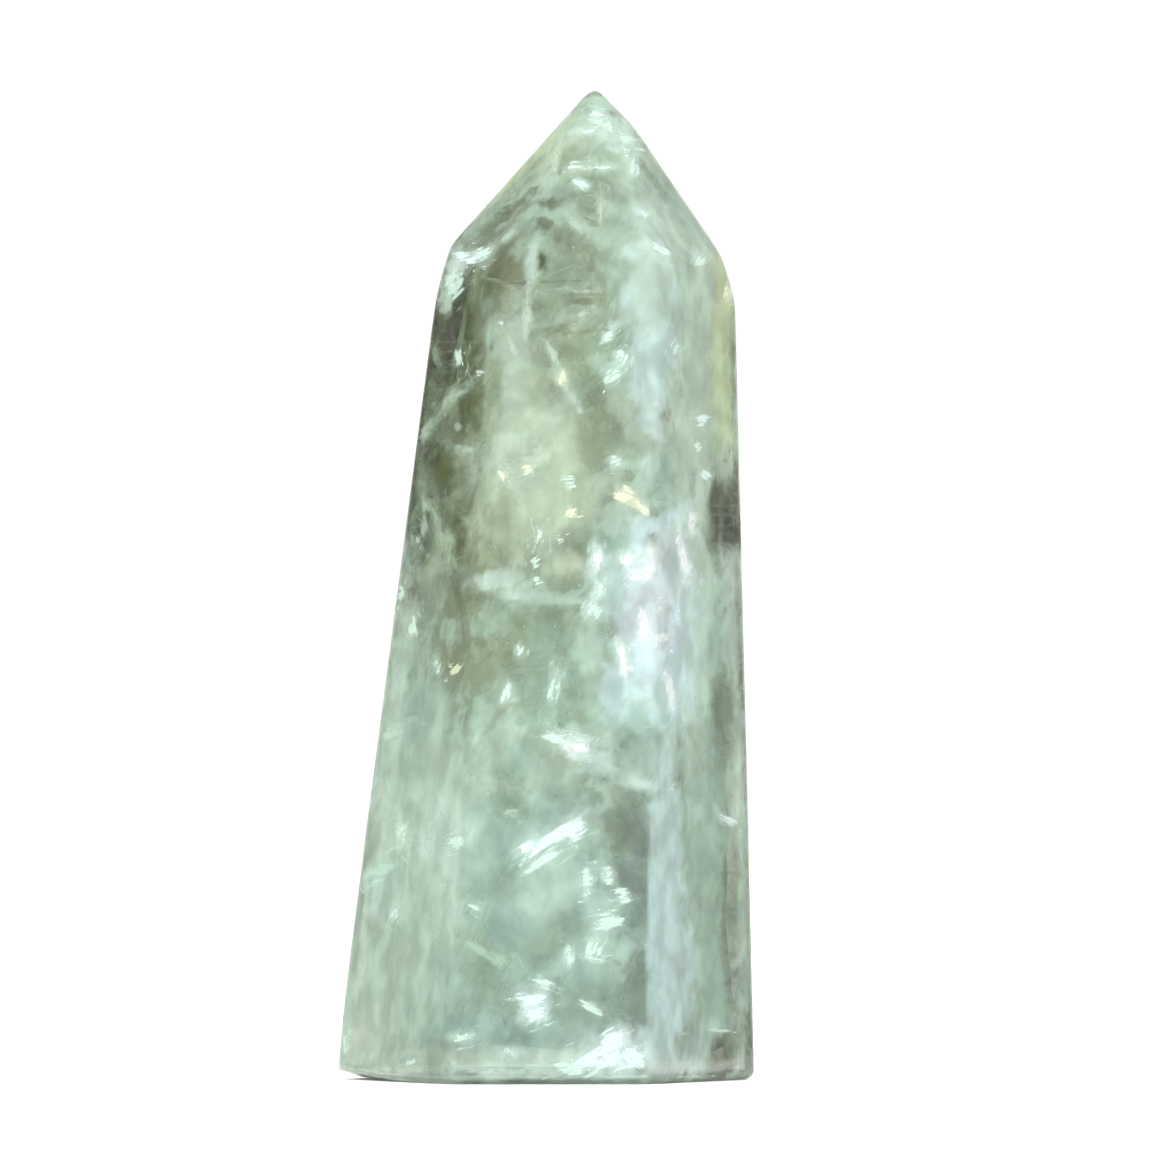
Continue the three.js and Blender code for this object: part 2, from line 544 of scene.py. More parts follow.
def skin(depth, softness, wave, rows, turns):
    """The points and faces of a wavy closed skin at about this depth."""
    rises = even_rises(depth, softness, rows)
    rise, turn = np.meshgrid(rises, np.linspace(0, 2 * math.pi, turns, endpoint=False), indexing="ij")
    rise, turn = rise.ravel(), turn.ravel()
    directions = np.stack([np.cos(rise) * np.cos(turn), np.cos(rise) * np.sin(turn), np.sin(rise)], axis=1)
    points = walk_out(directions, depth, softness)
    points = walk_out(directions, depth + wave * noise_at(points, 11.0, depth, 2), softness)
    poles = walk_out(np.array([[0, 0, -1.0], [0, 0, 1.0]]), depth, softness)
    faces = []
    for here in range((rows - 1) * turns):
        beside = here + 1 if (here + 1) % turns else here + 1 - turns
        faces.append((here, beside, beside + turns, here + turns))
    for k in range(turns):
        beside = (k + 1) % turns
        faces.append((len(points), beside, k))
        faces.append((len(points) + 1, (rows - 1) * turns + k, (rows - 1) * turns + beside))
    return np.concatenate([points, poles]), faces


print("skins:", ", ".join(SKINS))

# %% [markdown]
# ## The washes of colour
# Painting the haze by hand would be slow, and an image would be a copy of one stone. So it is painted as a
# painter in watercolour would, with washes: each has a kind, a place where the picture shows it, a spread
# and a lean. Noise eats into its edge, so that it ends in shreds. A later wash lies over the earlier ones.
# Where the stone is clear, the outer skin lets the eye through and the deeper skins are painted dark, a
# painted shade for the dark surroundings that clear quartz shows, which gives the shadows real depth.

# %% Kinds of haze
# clear, green, moss and olive are dark paint: painted shade for the dark surroundings that clear quartz shows
KINDS = {  # colour, cover of the outer skin, cover of the deeper skins
    "clear": ((0.32, 0.39, 0.23), 0.10, 0.6),
    "mint": ((0.52, 0.75, 0.62), 0.5, 0.75),
    "teal": ((0.51, 0.74, 0.67), 0.5, 0.75),
    "pale": ((0.68, 0.86, 0.73), 0.58, 0.8),
    "frost": ((0.78, 0.98, 0.89), 0.6, 0.85),
    "white": ((0.80, 0.96, 0.93), 0.65, 0.9),
    "blue": ((0.68, 0.85, 0.88), 0.85, 0.9),
    "straw": ((0.70, 0.83, 0.63), 0.55, 0.8),
    "lime": ((0.68, 0.80, 0.44), 0.6, 0.8),
    "cream": ((0.90, 0.97, 0.74), 0.6, 0.9),
    "green": ((0.31, 0.41, 0.26), 0.40, 0.9),
    "moss": ((0.14, 0.18, 0.09), 0.25, 0.97),
    "olive": ((0.08, 0.11, 0.015), 0.06, 1.0),
    "brown": ((0.28, 0.29, 0.16), 0.40, 0.9),
    "lilac": ((0.78, 0.84, 0.90), 0.7, 0.85),
    "ice": ((0.95, 1.0, 1.0), 0.95, 0.95),
    "sage": ((0.42, 0.55, 0.41), 0.8, 0.85),
}
print(len(KINDS), "kinds of haze")

# %% [markdown]
# ## The washes that the picture shows
# The rows go from broad tones to small lit places, and each was placed by comparing a render with the
# picture. The numbers are picture points. A later wash lies over the earlier ones, so small corrections of
# tone come last.

# %% Washes that the picture shows
WASHES = [  # kind, picture point, spread along and across, lean in degrees, strength
    # broad tones
    ("pale", 590, 170, 60, 60, 0, 0.5), ("pale", 530, 200, 40, 20, 40, 0.6),
    ("mint", 690, 230, 40, 20, -55, 0.6), ("straw", 560, 165, 30, 20, 45, 0.7),
    ("lime", 522, 168, 54, 6, 43, 0.6), ("mint", 540, 250, 30, 60, 0, 0.5),
    ("green", 580, 260, 34, 40, 0, 0.3), ("pale", 650, 240, 26, 40, 0, 0.6),
    # the blue band along the right ridge near the top is a painted reflection
    ("blue", 652, 330, 20, 84, 0, 0.8), ("lime", 722, 370, 16, 80, 0, 0.8),
    ("straw", 530, 470, 50, 80, 0, 0.8), ("pale", 512, 345, 14, 40, 0, 0.6),
    ("green", 580, 385, 24, 22, 0, 0.4), ("blue", 661, 625, 36, 80, 0, 1.0),
    ("blue", 654, 690, 28, 36, 0, 0.7), ("pale", 702, 620, 26, 90, 0, 0.8),
    ("green", 545, 625, 45, 16, 5, 0.6), ("mint", 570, 680, 60, 30, 0, 0.5),
    ("brown", 460, 665, 44, 24, 10, 0.45), ("teal", 420, 750, 50, 60, 0, 0.7),
    ("pale", 405, 930, 60, 120, 0, 0.8), ("teal", 520, 950, 120, 130, 0, 0.8),
    ("pale", 500, 760, 60, 30, 0, 0.5), ("pale", 455, 830, 16, 40, 0, 0.3),
    ("pale", 430, 860, 44, 130, 0, 0.7), ("mint", 712, 880, 30, 160, 0, 0.8),
    ("mint", 712, 700, 22, 90, 0, 0.5), ("pale", 450, 880, 12, 60, 5, 0.6),
    ("pale", 370, 1035, 40, 40, 0, 0.8), ("pale", 700, 360, 24, 90, 0, 0.6),
    ("pale", 692, 520, 24, 180, 0, 0.9), ("pale", 636, 196, 24, 16, 0, 0.5),
    ("pale", 510, 445, 24, 40, 0, 0.5), ("green", 530, 660, 26, 18, 0, 0.35),
    ("green", 584, 192, 24, 18, 0, 0.5), ("pale", 388, 750, 16, 60, 0, 0.5),
    ("pale", 345, 1050, 16, 24, 0, 0.6), ("pale", 742, 850, 6, 110, 0, 0.6),
    ("pale", 545, 480, 40, 60, 0, 0.2), ("pale", 590, 735, 20, 8, 0, 0.5),
    ("green", 640, 722, 22, 10, 0, 0.5), ("pale", 680, 520, 14, 70, 0, 0.4),
    ("pale", 610, 950, 20, 40, 20, 0.4), ("pale", 738, 780, 8, 80, 0, 0.6),
    ("frost", 354, 940, 16, 80, 4, 0.7), ("green", 500, 880, 30, 12, 30, 0.35),
    ("pale", 400, 640, 18, 40, 0, 0.5), ("green", 545, 985, 20, 10, 10, 0.4),
    ("pale", 545, 890, 26, 34, 0, 0.5), ("pale", 520, 1062, 150, 12, 0, 0.7),
    ("pale", 440, 850, 14, 40, 0, 0.6), ("pale", 362, 980, 18, 70, 4, 0.7),
    ("frost", 400, 1072, 60, 7, 0, 0.5), ("pale", 408, 770, 10, 22, 0, 0.6),
    ("pale", 456, 740, 9, 14, 0, 0.5), ("pale", 572, 1022, 12, 14, 40, 0.5),
    ("pale", 672, 240, 16, 18, -40, 0.5), ("pale", 474, 470, 8, 22, 0, 0.4),
    ("pale", 456, 930, 8, 30, 0, 0.4),
    # deep, dark places: painted shade, dark paint where clear quartz shows dark surroundings
    ("olive", 446, 350, 46, 74, -8, 1.0), ("olive", 430, 450, 46, 80, -6, 1.0),
    ("olive", 430, 520, 34, 40, -6, 0.8), ("olive", 462, 520, 15, 50, -10, 0.7),
    ("green", 495, 545, 11, 46, -8, 0.5), ("moss", 440, 590, 30, 16, 0, 0.35),
    ("olive", 475, 396, 13, 32, 0, 0.8), ("sage", 430, 574, 20, 16, 0, 0.6),
    ("sage", 450, 400, 14, 7, 40, 0.9), ("sage", 429, 427, 16, 4, 56, 0.8),
    ("sage", 470, 449, 16, 5, 8, 0.7), ("sage", 438, 528, 6, 28, 14, 0.7),
    ("olive", 448, 430, 8, 14, -30, 0.8), ("sage", 452, 600, 20, 26, 0, 0.5),
    ("sage", 437, 548, 8, 16, 0, 0.5), ("olive", 498, 278, 20, 28, 0, 0.85),
    ("olive", 495, 222, 34, 7, 33, 0.9), ("brown", 510, 240, 16, 20, 0, 0.35),
    ("pale", 706, 452, 20, 22, 0, 0.5), ("olive", 725, 517, 27, 29, 0, 1.0),
    ("moss", 722, 720, 15, 44, 0, 0.3), ("moss", 730, 925, 14, 60, 0, 0.5),
    ("olive", 724, 1056, 17, 18, 0, 0.7), ("moss", 630, 850, 18, 46, 0, 0.4),
    ("green", 603, 435, 18, 34, -8, 0.7), ("brown", 564, 237, 10, 12, 0, 0.35),
    ("brown", 588, 262, 16, 14, 0, 0.25), ("brown", 584, 298, 20, 7, 0, 0.5),
    ("olive", 541, 261, 4, 8, 0, 0.9), ("olive", 532, 308, 8, 5, 0, 0.9), ("moss", 550, 203, 8, 5, 0, 0.7),
    ("moss", 544, 223, 6, 6, 0, 0.8), ("moss", 530, 284, 6, 4, 0, 0.9), ("moss", 652, 178, 22, 7, -50, 0.4),
    ("green", 590, 345, 30, 8, 15, 0.6), ("green", 510, 790, 12, 26, 0, 0.5),
    ("moss", 470, 586, 26, 14, 0, 0.6), ("green", 478, 960, 14, 34, 10, 0.5),
    ("green", 610, 1000, 40, 20, 20, 0.35), ("green", 540, 940, 30, 20, 20, 0.5),
    ("moss", 575, 540, 12, 14, 0, 0.3),
    # lit places: white haze of the breaks, with painted highlights where they catch the light
    ("white", 459, 262, 16, 12, 15, 0.9), ("frost", 448, 291, 13, 16, 0, 0.5),
    ("frost", 484, 252, 8, 6, 30, 0.3), ("frost", 531, 268, 5, 34, -4, 0.7),
    ("brown", 509, 282, 10, 20, 0, 0.9), ("frost", 549, 180, 6, 22, 0, 0.6),
    ("frost", 596, 116, 8, 7, 0, 0.9), ("frost", 610, 124, 12, 6, -30, 0.8),
    ("frost", 584, 131, 14, 4, 0, 0.8), ("frost", 620, 136, 14, 8, -20, 0.8),
    ("frost", 626, 151, 14, 5, -10, 0.9), ("frost", 573, 166, 9, 4, 0, 0.5),
    ("frost", 600, 167, 14, 4, 0, 0.7), ("frost", 634, 168, 6, 9, 0, 0.7),
    ("frost", 580, 184, 9, 6, -20, 0.8), ("straw", 600, 208, 5, 16, 0, 0.5),
    ("white", 642, 213, 6, 6, 0, 0.8), ("white", 657, 246, 13, 6, -25, 1.0),
    ("frost", 648, 270, 10, 22, 0, 0.8), ("lime", 722, 268, 6, 22, -28, 0.9),
    ("cream", 728, 293, 7, 7, 0, 0.9), ("frost", 698, 262, 8, 12, 0, 0.6),
    ("frost", 608, 333, 7, 8, 0, 0.8), ("frost", 621, 357, 7, 7, 0, 0.5),
    ("frost", 614, 375, 12, 9, 30, 0.7), ("frost", 676, 347, 6, 7, 0, 0.8),
    ("cream", 562, 378, 5, 7, 0, 0.8), ("frost", 560, 400, 8, 22, -20, 0.4),
    ("cream", 625, 494, 11, 8, -20, 1.0), ("cream", 639, 504, 9, 4, -35, 0.9),
    ("frost", 615, 462, 6, 6, 0, 0.8), ("frost", 496, 581, 16, 8, 0, 0.9),
    ("frost", 545, 598, 34, 4, -4, 0.7), ("cream", 566, 564, 15, 8, 20, 0.3),
    ("white", 596, 560, 7, 13, -10, 0.9), ("white", 628, 560, 7, 7, 0, 0.9),
    ("white", 653, 562, 8, 14, 0, 0.7), ("white", 639, 577, 8, 7, 0, 0.9),
    ("white", 682, 556, 6, 24, 8, 0.9), ("white", 691, 519, 6, 11, 0, 0.9),
    ("blue", 664, 520, 32, 6, 16, 0.9), ("blue", 638, 540, 6, 14, -10, 0.8),
    ("ice", 652, 557, 8, 14, 0, 0.5), ("blue", 686, 620, 20, 70, 0, 0.6), ("ice", 643, 574, 8, 6, 20, 0.5),
    ("ice", 627, 560, 6, 6, 0, 0.6), ("ice", 683, 555, 5, 22, 16, 0.8), ("ice", 691, 524, 4, 9, 0, 0.8),
    ("ice", 641, 620, 6, 10, 0, 0.5), ("ice", 654, 637, 11, 8, 0, 0.4), ("lilac", 661, 608, 12, 16, 0, 0.7),
    ("lilac", 630, 610, 14, 18, 0, 0.4), ("ice", 622, 660, 4, 14, 8, 0.7),
    ("ice", 669, 686, 4, 26, 12, 0.6), ("blue", 645, 690, 16, 30, 0, 0.6),
    ("teal", 663, 712, 9, 14, 0, 0.7), ("mint", 612, 536, 12, 14, 0, 0.6),
    ("mint", 642, 724, 22, 10, 0, 0.7), ("lilac", 671, 566, 7, 16, 0, 0.3),
    ("frost", 704, 640, 5, 50, 0, 0.5), ("moss", 722, 700, 16, 20, 0, 0.5),
    ("frost", 599, 590, 6, 10, 0, 0.8), ("frost", 592, 611, 7, 9, 0, 0.8),
    ("white", 645, 626, 9, 18, 0, 0.5), ("white", 662, 612, 10, 20, 0, 0.5),
    ("frost", 621, 658, 6, 16, 5, 0.8), ("frost", 664, 690, 6, 26, -5, 0.4),
    ("frost", 640, 700, 16, 14, 0, 0.4), ("lilac", 645, 612, 26, 40, 0, 0.35),
    ("frost", 520, 651, 5, 7, 0, 0.8), ("frost", 507, 692, 6, 11, 0, 0.4),
    ("frost", 553, 685, 5, 20, -5, 0.6), ("white", 577, 746, 11, 8, 0, 1.0),
    ("frost", 560, 740, 22, 8, -8, 0.4), ("frost", 598, 760, 18, 5, -42, 0.8),
    ("frost", 622, 778, 18, 5, -26, 0.9), ("frost", 644, 785, 12, 4, -10, 0.9),
    ("white", 556, 834, 34, 8, 32, 0.5), ("white", 530, 846, 12, 8, 20, 0.5),
    ("frost", 552, 862, 34, 12, 30, 0.15), ("white", 586, 880, 6, 18, 0, 0.45),
    ("white", 609, 876, 6, 9, 0, 0.9), ("frost", 620, 897, 12, 9, 0, 0.5),
    ("white", 604, 924, 18, 12, 0, 0.2), ("frost", 596, 958, 7, 14, 0, 0.45),
    ("frost", 569, 954, 5, 9, 0, 0.8), ("white", 527, 993, 20, 9, 10, 0.6),
    ("white", 534, 1012, 14, 10, 30, 1.0), ("frost", 550, 972, 10, 6, 20, 0.4),
    ("frost", 594, 1008, 12, 4, -25, 0.6), ("white", 618, 1050, 26, 16, 0, 1.0),
    ("frost", 594, 1062, 40, 14, 8, 0.9), ("white", 626, 1040, 14, 10, -20, 1.0),
    ("frost", 456, 839, 11, 8, 15, 0.8), ("frost", 401, 830, 8, 9, 40, 0.7),
    ("frost", 474, 907, 8, 4, -25, 0.8), ("frost", 465, 1038, 14, 5, 0, 0.7),
    ("white", 512, 1052, 6, 5, 0, 0.8), ("frost", 393, 915, 6, 9, 15, 0.5),
    ("frost", 411, 1061, 6, 6, 0, 0.7), ("frost", 495, 1074, 12, 6, 0, 0.7),
    ("white", 721, 815, 10, 5, -25, 0.8), ("frost", 716, 1030, 24, 4, 0, 0.7),
    ("frost", 740, 790, 4, 60, 0, 0.6), ("frost", 400, 600, 6, 24, 22, 0.5),
    ("frost", 412, 626, 5, 14, 30, 0.5), ("frost", 396, 690, 8, 20, 0, 0.7),
    # small corrections of tone
    ("olive", 446, 440, 9, 22, 0, 0.7), ("green", 494, 388, 9, 22, 0, 0.5),
    ("green", 592, 206, 10, 12, 0, 0.5), ("green", 545, 396, 12, 12, 0, 0.45),
    ("green", 632, 448, 18, 11, 0, 0.45), ("olive", 446, 352, 10, 12, 0, 0.6),
    ("green", 496, 1000, 16, 13, 0, 0.35), ("green", 520, 209, 14, 9, 35, 0.45),
    ("pale", 648, 288, 18, 44, 0, 0.6), ("green", 494, 686, 11, 13, 0, 0.35),
    ("green", 518, 424, 11, 9, 0, 0.3), ("teal", 616, 592, 9, 13, 0, 0.5),
    ("moss", 472, 566, 9, 11, 0, 0.35), ("green", 738, 400, 8, 60, 0, 0.5),
    ("green", 738, 590, 7, 26, 0, 0.4), ("green", 518, 652, 13, 19, 0, 0.35),
    ("moss", 712, 906, 8, 20, 0, 0.2), ("green", 592, 328, 11, 9, 0, 0.3),
    ("frost", 448, 838, 13, 20, 0, 0.6), ("frost", 400, 690, 12, 20, 0, 0.6),
    ("pale", 738, 928, 6, 24, 0, 0.5), ("frost", 376, 904, 11, 20, 0, 0.6),
    ("pale", 592, 664, 9, 34, 0, 0.6), ("pale", 518, 350, 11, 17, 0, 0.6),
    ("blue", 664, 536, 9, 13, 0, 0.5), ("teal", 520, 926, 16, 14, 0, 0.5),
    ("green", 474, 282, 9, 11, 0, 0.5), ("pale", 688, 760, 9, 17, 0, 0.5),
    ("pale", 424, 1072, 24, 8, 0, 0.6), ("pale", 614, 520, 11, 13, 0, 0.6),
    ("frost", 446, 302, 9, 13, 0, 0.5), ("sage", 423, 484, 7, 24, 10, 0.6),
    ("sage", 450, 402, 13, 10, 40, 0.6), ("olive", 447, 474, 12, 14, 0, 0.7),
    ("blue", 614, 690, 12, 22, 0, 0.7), ("pale", 520, 304, 13, 15, 0, 0.5),
    ("green", 494, 378, 10, 14, 0, 0.4), ("frost", 438, 826, 30, 32, 0, 0.7),
    ("frost", 448, 910, 14, 60, 0, 0.55), ("pale", 640, 758, 15, 13, 0, 0.6),
    ("pale", 616, 400, 13, 13, 0, 0.5), ("frost", 374, 1000, 13, 34, 0, 0.6),
    ("mint", 546, 640, 15, 15, 0, 0.5), ("sage", 448, 544, 9, 13, 0, 0.6), ("ice", 662, 540, 8, 13, 0, 0.4),
    ("pale", 616, 784, 11, 13, 0, 0.5), ("green", 568, 158, 10, 9, 0, 0.45),
    ("frost", 544, 904, 15, 13, 0, 0.35), ("green", 540, 738, 12, 9, 0, 0.35),
    ("teal", 640, 712, 10, 12, 0, 0.5), ("moss", 474, 546, 9, 16, 0, 0.3),
    ("green", 546, 304, 14, 13, 0, 0.5), ("teal", 520, 760, 14, 13, 0, 0.5),
    ("blue", 594, 762, 12, 9, 0, 0.4), ("pale", 472, 470, 9, 18, 0, 0.5),
    ("teal", 664, 472, 12, 14, 0, 0.5), ("pale", 424, 640, 12, 13, 0, 0.5),
    ("moss", 738, 545, 6, 9, 0, 0.4), ("moss", 496, 304, 9, 9, 0, 0.25), ("pale", 616, 832, 9, 10, 0, 0.3),
]

# %% [markdown]
# ## Washes that stop at a ridge
# Every flat bends the light its own way and so shows another part of the inside. A tone can therefore end
# sharply at the ridge between two flats. Cutting the skins there would tear them, so such a wash paints
# only the points behind the flat of its own middle.

# %% Washes that stop at a ridge
RIDGE_WASHES = [  # seen through one flat only, so they end sharply where the next flat begins
    # the moss, olive and green rows are painted shade
    ("moss", 634, 850, 20, 40, 0, 0.5), ("olive", 642, 890, 10, 50, 0, 0.6),
    ("moss", 636, 990, 13, 28, 0, 0.55), ("green", 616, 836, 30, 16, 20, 0.25),
    ("blue", 668, 930, 34, 150, 0, 0.7), ("blue", 666, 840, 16, 60, 0, 0.15),
    ("pale", 640, 440, 16, 60, 0, 0.15), ("green", 672, 465, 10, 46, 0, 0.1),
]

# %% [markdown]
# ## The washes on the other sides
# The picture shows only some of the six sides. The others could repeat it, but a repeat is easily seen.
# They get washes of the same kinds and sizes from a seeded chance, and a few named ones where the left
# side's painted shadow reaches the back.

# %% Washes on the other sides
chance = np.random.default_rng(23)
OTHER_SIDES = (75, 130, 180, 230, 285)
BROAD = ("mint", "pale", "pale", "blue", "straw", "green", "olive", "brown")
SMALL = ("frost", "frost", "white", "mint", "moss", "cream", "green")
SORTS = ((BROAD, 16, 18, 60), (SMALL, 26, 4, 15))  # kinds, how many, least and most spread
SEEDED_STRENGTH = 0.8
WASH_HEIGHTS = (120, 1060)  # the picture points between which seeded washes lie
WASH_REACH = 110  # how far they lie from the foot's middle, to either side


def random_washes(turn):
    """Washes for a side that the picture doesn't show, like those that it does."""
    made = []
    for kinds, count, least, most in SORTS:
        for _ in range(count):
            y = chance.uniform(*WASH_HEIGHTS)
            along, across = chance.uniform(least, most, 2)
            x = BASE_X_PX + chance.uniform(-WASH_REACH, WASH_REACH)
            kind, lean = str(chance.choice(kinds)), chance.uniform(-90, 90)
            made.append((kind, x, y, along, across, lean, SEEDED_STRENGTH, turn))
    return made


BACK_WASHES = [  # on the flat where the left side's shadow reaches the back, with the turn of the eye
    ("sage", 556, 384, 44, 46, 20, 0.8, 225), ("green", 640, 450, 34, 60, 0, 0.7, 225),
    ("mint", 606, 520, 60, 34, -12, 0.8, 225), ("brown", 540, 330, 40, 30, 0, 0.7, 225),
    ("mint", 650, 350, 26, 40, 10, 0.7, 225), ("sage", 590, 330, 40, 16, -20, 0.7, 225),
    ("moss", 610, 410, 26, 12, 24, 0.6, 225), ("pale", 560, 450, 16, 34, 20, 0.6, 225),
    ("moss", 566, 500, 24, 9, -20, 0.5, 225), ("pale", 640, 566, 26, 12, 10, 0.5, 225),
]
washes = [wash for turn in OTHER_SIDES for wash in random_washes(turn)]
washes += [(*wash, 0.0) for wash in WASHES + RIDGE_WASHES] + BACK_WASHES
one_flat = set(range(len(washes) - len(RIDGE_WASHES) - len(BACK_WASHES), len(washes)))
print(len(washes), "washes of haze")

# %% [markdown]
# ## How a wash lies
# A wash is a soft blot in space, not a decal on a skin. It has to show at its own picture point on all
# skins, so the blot follows the bent line of sight inwards. A dark wash is a painted shadow, and it reaches
# through to the far side, or light from behind would brighten it. Noise eats into the edge.

# %% How a wash lies
REACH = 4.0  # how deep a wash reaches besides its spread, in millimetres
# how deep the painted shadows of the dark kinds reach, besides their spread, in millimetres
PAINTED_SHADOW_REACH = {"olive": 15.0, "moss": 9.0}
BLOT_END = 9.0  # a blot is over at three times its spread, squared
BLOT_EDGE = (0.15, 0.75)  # where its cover begins and where it is full
SHREDS = 0.4  # how much noise eats into the edge of a wash
SMALLEST_SHRED = 0.7
RIDGE_EDGE = 0.12  # how soft a wash ends at a ridge, in millimetres
FRONT_LINE = (-3.5, 1.5)  # the seeded washes fade between these distances behind the middle, in millimetres


def soft_step(low, high, values):
    share = np.clip((values - low) / (high - low), 0, 1)
    return share * share * (3 - 2 * share)


def turned(u, v, degrees):
    """A step in the picture, given along and across a line that leans up to the right by this much."""
    cosine, sine = math.cos(math.radians(degrees)), math.sin(math.radians(degrees))
    return u * cosine + v * sine, v * cosine - u * sine


def on_flat_of(points, centre):
    """1 for points behind the same flat as a centre and 0 beyond its ridges."""
    slack = REACHES - points @ NORMALS.T
    own = int((REACHES - NORMALS @ np.array(centre)).argmin())
    beyond = np.delete(slack, own, axis=1).min(axis=1) - slack[:, own]
    return soft_step(-RIDGE_EDGE, RIDGE_EDGE, beyond)


def wash_share(points, wash, depth, seed):
    """How much of one wash lies at each point, from 0 to 1, and how far behind its middle the point lies."""
    kind, x, y, along, across, lean, strength, turn = wash
    centre = seen_at(x, y, depth, turn)
    shares = np.zeros(len(points))
    if centre is None:
        return shares, shares
    right, away, up = (np.array(around(turn) @ Vector(axis)) for axis in ((1, 0, 0), (0, 1, 0), (0, 0, 1)))
    inwards = np.array(seen_at(x, y, depth + 1, turn) - centre)
    offset = points - np.array(centre)
    behind = offset @ away
    offset = offset - np.outer(behind / (inwards @ away), inwards)
    u, v = turned(offset @ right, offset @ up, lean)
    a, b = along / PX_PER_MM, across / PX_PER_MM
    c = PAINTED_SHADOW_REACH.get(kind, REACH) + a
    distance = (u / a) ** 2 + (v / b) ** 2 + (behind / c) ** 2
    near = distance < BLOT_END
    ragged = noise_at(points[near], max(SMALLEST_SHRED, min(a, b)), seed, 4)
    shares[near] = strength * soft_step(*BLOT_EDGE, np.exp(-distance[near] / 2) + SHREDS * ragged)
    if seed in one_flat:
        shares[near] *= on_flat_of(points[near], centre)
    if turn:
        shares *= soft_step(*FRONT_LINE, points[:, 1])
    return shares, behind


print("a shadow reaches", PAINTED_SHADOW_REACH["olive"], "mm deep, another wash", REACH)

# %% [markdown]
# ## Painting the skins
# The paint is a colour and a cover at each point of a skin. An image wrapped around the stone would need
# seams, and values at the points need none. Under the washes lies a ground of slow changes and of torn
# flakes in two sizes, drawn out the way the crystal grew.

# %% Painting the skins
# a wash takes the cover of the deeper skins behind its middle, so a painted shadow stays dark on the far side
FAR_SIDE = (2.0, 5.0)  # a wash covers as a deep one where it is this many millimetres behind its middle
GROWTH_DRAW = 0.8
SLOW_SIZE = 9.0
FLAKE_SIZES = (2.6, 1.1)


def flakes_at(points, size, seed):
    """Noise with soft steps, like torn flakes of mist, from -1 to 1."""
    bend = np.stack([noise_at(points, size * 1.7, seed + k, 2) for k in (1, 2, 3)], axis=1)
    return np.tanh(5.0 * noise_at(points + bend * size * 0.6, size, seed, 3))


def ground_of(points):
    """The kinds and shares of the haze under all washes."""
    drawn = points * (1.0, 1.0, GROWTH_DRAW)
    slow = noise_at(points, SLOW_SIZE, 21, 3)
    large, small = (flakes_at(drawn, size, seed) for size, seed in zip(FLAKE_SIZES, (22, 27)))
    # the clear kind is painted shade: dark paint in the gaps of the haze
    clear = [("clear", -0.5 * large), ("clear", -0.5 * small - 0.1)]
    return [("straw", 1.2 * slow), ("pale", 0.45 * large), *clear]


def painted(points, depth):
    """Colour and cover at each point of a skin."""
    layer = 1 if depth < 1 else 2
    # the deeper skins start dark green, painted shade under all the washes
    base = "mint" if layer == 1 else "green"
    paint = np.zeros((len(points), 4)) + (*KINDS[base][0], KINDS[base][layer])
    shares = [(kind, np.clip(share, 0, 1), 0.0 * share) for kind, share in ground_of(points)]
    shares += [(wash[0], *wash_share(points, wash, depth, k)) for k, wash in enumerate(washes)]
    for kind, share, behind in shares:
        colour, *cover = KINDS[kind]
        target = np.zeros((len(points), 4)) + (*colour, cover[layer - 1])
        target[:, 3] += (cover[1] - target[:, 3]) * soft_step(*FAR_SIDE, behind)
        paint += share[:, None] * (target - paint)
    return paint


print("the flakes are", " and ".join(str(size) for size in FLAKE_SIZES), "mm across")

# %% [markdown]
# ## The finish of the haze
# Tiny drops have no gloss, so the haze is a rough finish that is only partly there. Where the points of a
# skin lie too far apart for fine detail, noise in the finish adds shreds to the colour and to the cover.

# %% The finish of the haze
SHRED_SIZE = 2.4
SHRED_DRAW = (1.1, 1.1, 0.8)
SHRED_EDGE = (0.34, 0.68)
COVER_CHANGE = (0.26, 0.86)  # how much the shreds add to the cover, and what is there without them
LIGHT_CHANGE = (0.20, 0.91)


def hazy(sheet):
    cloud = sheet.node("ShaderNodeAttribute", {"attribute_name": "cloud"})
    drawn_up = sheet.drawn(sheet.node("ShaderNodeTexCoord")["Object"], SHRED_DRAW)
    shreds = sheet.step(sheet.noise(SHRED_SIZE, detail=5.0, place=drawn_up, twist=0.3), *SHRED_EDGE)
    cover = cloud["Alpha"] * (shreds * COVER_CHANGE[0] + COVER_CHANGE[1])
    colour = sheet.lit(cloud["Color"], shreds * LIGHT_CHANGE[0] + LIGHT_CHANGE[1])
    sockets = {"Base Color": colour, "Alpha": cover, "Roughness": 1.0, "Specular IOR Level": 0.0}
    return sheet.node("ShaderNodeBsdfPrincipled", None, sockets)["BSDF"]


def inclusion(name, points, faces, paint, finish, smooth=True):
    """A piece inside the stone. Its paint is colour and cover, and for streaky sheets also grain and fade."""
    made = piece_from(name, np.array(points) * MM, faces, finish, smooth)
    columns = np.array(paint)
    cloud = made.data.attributes.new("cloud", "FLOAT_COLOR", "POINT")
    cloud.data.foreach_set("color", columns[:, :4].ravel())
    if columns.shape[1] == 8:
        grain = made.data.attributes.new("grain", "FLOAT_VECTOR", "POINT")
        grain.data.foreach_set("vector", columns[:, 4:7].ravel())
        fade = made.data.attributes.new("fade", "FLOAT", "POINT")
        fade.data.foreach_set("value", columns[:, 7])
    # A small sheet would darken the haze close under it and so get a dark rim.
    # The polished outside stops every shadow ray, so leaving them out inside only saves time.
    made.visible_diffuse = name in SKINS
    made.visible_shadow = False
    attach(made, "root")
    triangles[name] = sum(len(face) - 2 for face in faces)
    print(name, triangles[name], "triangles")


haze = material("haze", hazy)
for name, shape in SKINS.items():
    points, faces = skin(**shape)
    paint = painted(points, shape["depth"])
    inclusion(name, points, faces, paint, haze)
    if name == "outer_haze":
        outer_points, outer_paint = points, paint

